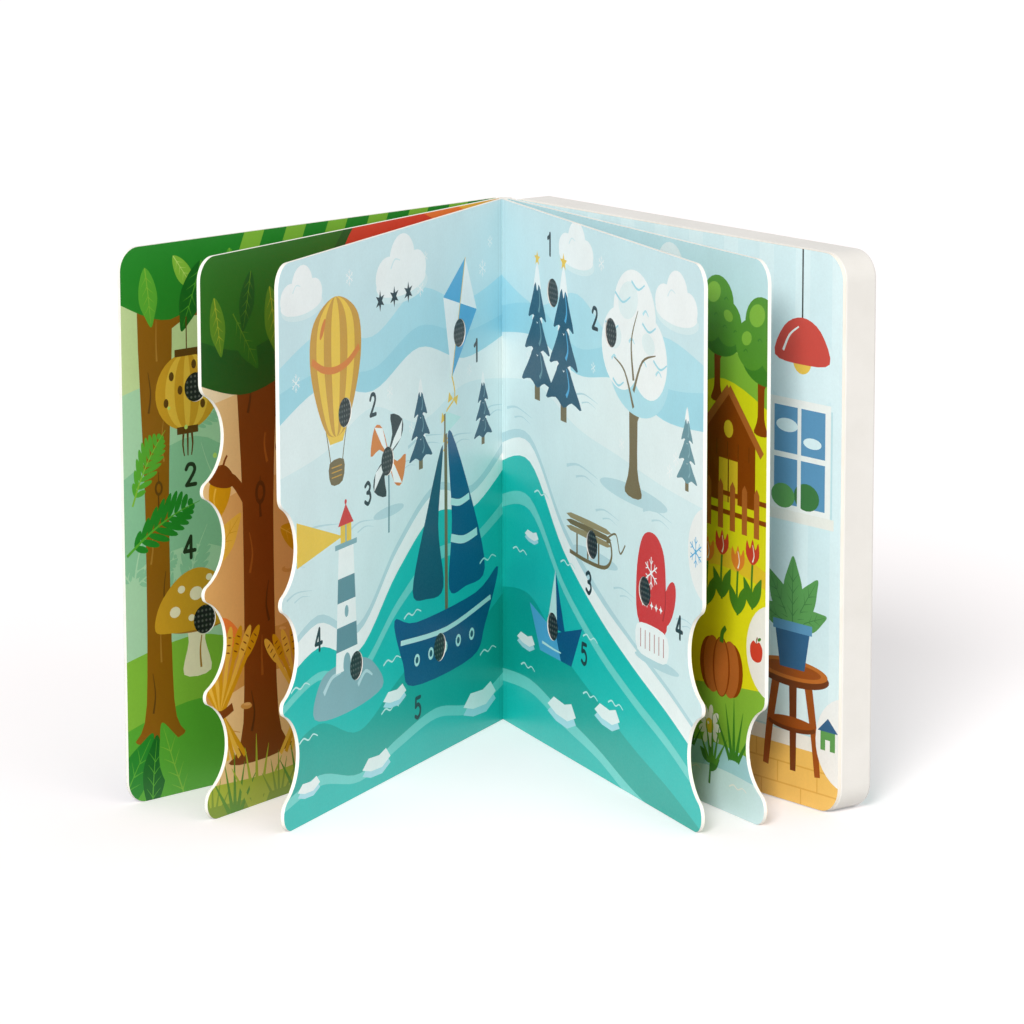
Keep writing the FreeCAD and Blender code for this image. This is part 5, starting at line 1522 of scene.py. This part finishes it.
# name: node, board, depth, side, body, paper, ink, art and the numerals' offsets from
# their windows
sheetRows = {
    "page1Print": ("front_cover", coverBoard, 0.0, 1, "cover_board", "#C3D79A", forest["ink"],
                   pageOne, [(20, 3), (-3, -32), (30, 0), (-7, 28)]),
    "page2Print": ("pages", leafOne, -boardThick, -1, "page_fan", "#C3D79A", forest["ink"],
                   pageTwo, [(-22, 0), (21, -8), (14, 0), (26, 4), (18, 4)]),
    "page3Print": ("pages", leafOne, 0.0, 1, "page_fan", autumn["cream"], autumn["ink"],
                   pageThree, [(-20, 0), (22, -2), (27, 2), (-28, 4), (22, -8)]),
    "page4Print": ("pages", leafTwo, -boardThick, -1, "page_fan", autumn["cream"],
                   autumn["ink"], pageFour, [(28, 0), (22, 0), (18, 0), (-28, 2), (30, 2)]),
    "page5Print": ("pages", leafTwo, 0.0, 1, "page_fan", winter["sky"], winter["ink"],
                   pageFive, [(15, -9), (23, -1), (-17, -9), (-31, 16), (-20, -19)]),
    "page6Print": ("pages", leafThree, 0.0, -1, "page_fan", winter["sky"], winter["ink"],
                   pageSix, [(-3, 18), (-15, 3), (-3, -15), (31, -7), (31, -4)]),
    "page7Print": ("pages", leafThree, boardThick, 1, "page_fan", field["sky"], field["ink"],
                   pageSeven, [(33, 6), (28, 0), (-22, 6), (-28, 2)]),
    "page8Print": ("pages", leafFour, 0.0, -1, "page_fan", field["sky"], field["ink"],
                   pageEight, [(31, 4), (31, 6), (24, 0), (-30, 0), (20, 2)]),
    "page9Print": ("pages", leafFour, boardThick, 1, "page_fan", home["wall"], home["ink"],
                   pageNine, [(30, 0), (30, 0), (-22, 4), (-24, 2)]),
    "page10Print": ("module_face_board", blockBoard, 0.0, -1, "sound_block", home["wall"],
                    home["ink"], pageTen, [(30, 0), (-26, 0), (-20, 8), (-26, 4)]),
    "coverPrint": ("front_cover", coverBoard, -boardThick, -1, "cover_board", winter["pale"],
                   winter["ink"], outsideFront, None),
    "backPrint": ("back_board", blockBoard, caseDepth, 1, "sound_block", winter["ice"],
                  winter["ink"], outsideBack, None),
}
sheetParts = ("node", "board", "depth", "side", "body", "paper", "ink", "art", "beside")
sheets = {name: dict(zip(sheetParts, row)) for name, row in sheetRows.items()}
sheetFilm = {"proud": 0.00004, "thick": 0.00006, "numeral": 8.0}
# fold lines beside the spine: strips where the ink is darkened, as painted shade in the pressed
# grooves
paintedFoldShade = {"places": (1.0, 3.4), "wide": 0.4, "tone": 0.86}
# how the printed side is found, in metres, and a touch window's area, in square mm
finding = {"weld": 1e-6, "flat": 4e-6, "behindRoot": 0.0035, "windowLow": 40, "windowHigh": 200}


def printedSide(sheet):
    # the outline and the openings of a CAD board's printed side, as its reader sees them
    base = sheet["board"]
    mesh = bmesh.new()
    mesh.from_mesh(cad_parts[sheet["node"]].data)
    bmesh.ops.remove_doubles(mesh, verts=mesh.verts, dist=finding["weld"])
    flat = set()
    for vert in mesh.verts:
        offset = vert.co - base["root"]
        onSide = abs(offset.dot(base["across"]) - sheet["depth"]) < finding["flat"]
        if onSide and offset.dot(base["along"]) > -finding["behindRoot"]:
            flat.add(vert)
    faces = {face for face in mesh.faces if all(vert in flat for vert in face.verts)}
    following = {}
    for face in faces:
        for corner in face.loops:
            if not any(other in faces for other in corner.edge.link_faces if other is not face):
                following[corner.vert] = corner.link_loop_next.vert
    loops = []
    while following:
        here, after = following.popitem()
        loop = [here]
        while after in following:
            loop.append(after)
            after = following.pop(after)
        points = []
        for vert in loop:
            along = (vert.co - base["root"]).dot(base["along"]) * 1000
            across = pageWide - along if sheet["side"] > 0 else along
            points.append((min(max(across, 0.0), pageWide), vert.co.z * 1000))
        if len(points) > 2:
            loops.append(points)
    mesh.free()
    loops.sort(key=lambda points: -abs(loopArea(points)))
    return loops[0], loops[1:]


def loopArea(points):
    return sum(a[0] * b[1] - b[0] * a[1] for a, b in zip(points, points[1:] + points[:1])) / 2


def placeOn(sheet, x, z):
    base = sheet["board"]
    along = (pageWide - x if sheet["side"] > 0 else x) / 1000
    depth = sheet["depth"] + sheet["side"] * sheetFilm["proud"]
    return base["root"] + base["along"] * along + base["across"] * depth + Vector((0, 0, z / 1000))


def printSheet(name, sheet):
    outline, openings = printedSide(sheet)
    art = [(sheet["paper"], outline)] + sheet["art"]()
    if sheet["beside"]:
        middles = [(sum(p[0] for p in loop) / len(loop), sum(p[1] for p in loop) / len(loop))
                   for loop in openings
                   if finding["windowLow"] < abs(loopArea(loop)) < finding["windowHigh"]]
        for k, (x, z) in enumerate(sorted(middles, key=lambda p: -p[1])):
            dx, dz = sheet["beside"][k]
            strokes = numeral(k + 1, x + dx, z + dz, sheetFilm["numeral"])
            art += [(sheet["ink"], piece) for piece in strokes]
    # thin strips at the fold lines; the ink under them is darkened below as painted shade
    shadedFoldStrips = []
    for place in paintedFoldShade["places"] if sheet["beside"] else ():
        x = pageWide - place if sheet["side"] > 0 else place
        shadedFoldStrips.append(panel(x - paintedFoldShade["wide"] / 2, -bleed, paintedFoldShade["wide"],
                           pageHigh + 2 * bleed))
    spots, faces = [], []
    for points in [shape for _, shape in art] + shadedFoldStrips + openings:
        if loopArea(points) < 0:
            points = points[::-1]
        faces.append(list(range(len(spots), len(spots) + len(points))))
        spots += [Vector(point) for point in points]
    found = delaunay_2d_cdt(spots, [], faces, 1, 1e-5, True)
    colours = {code: ink(code) for code in {code for code, _ in art}}
    mesh = bmesh.new()
    layer = mesh.loops.layers.float_color.new("ink")
    verts = [mesh.verts.new(placeOn(sheet, *spot)) for spot in found[0]]
    outward = sheet["board"]["across"] * sheet["side"]
    for corners, owners in zip(found[2], found[5]):
        if 0 not in owners or max(owners) >= len(art) + len(shadedFoldStrips):
            continue
        top = max(owner for owner in owners if owner < len(art))
        # painted shade: the ink inside a fold strip is darkened, standing in for the groove's
        # shadow
        tone = paintedFoldShade["tone"] if max(owners) >= len(art) else 1.0
        face = mesh.faces.new([verts[k] for k in corners])
        face.normal_update()
        if face.normal.dot(outward) < 0:
            face.normal_flip()
        for corner in face.loops:
            corner[layer] = [part * tone for part in colours[art[top][0]][:3]] + [1.0]
    loose = [vert for vert in mesh.verts if not vert.link_faces]
    bmesh.ops.delete(mesh, geom=loose, context="VERTS")
    data = bpy.data.meshes.new(name)
    mesh.to_mesh(data)
    mesh.free()
    data.materials.append(laminatedPrint)
    piece = bpy.data.objects.new(name, data)
    bpy.context.scene.collection.objects.link(piece)
    film = piece.modifiers.new("film", "SOLIDIFY")
    film.thickness = sheetFilm["thick"]
    film.offset = -1.0
    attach(piece, sheet["body"])
    print("stage:", name, "faces", len(data.polygons), "openings", len(openings))


for name, sheet in sheets.items():
    printSheet(name, sheet)
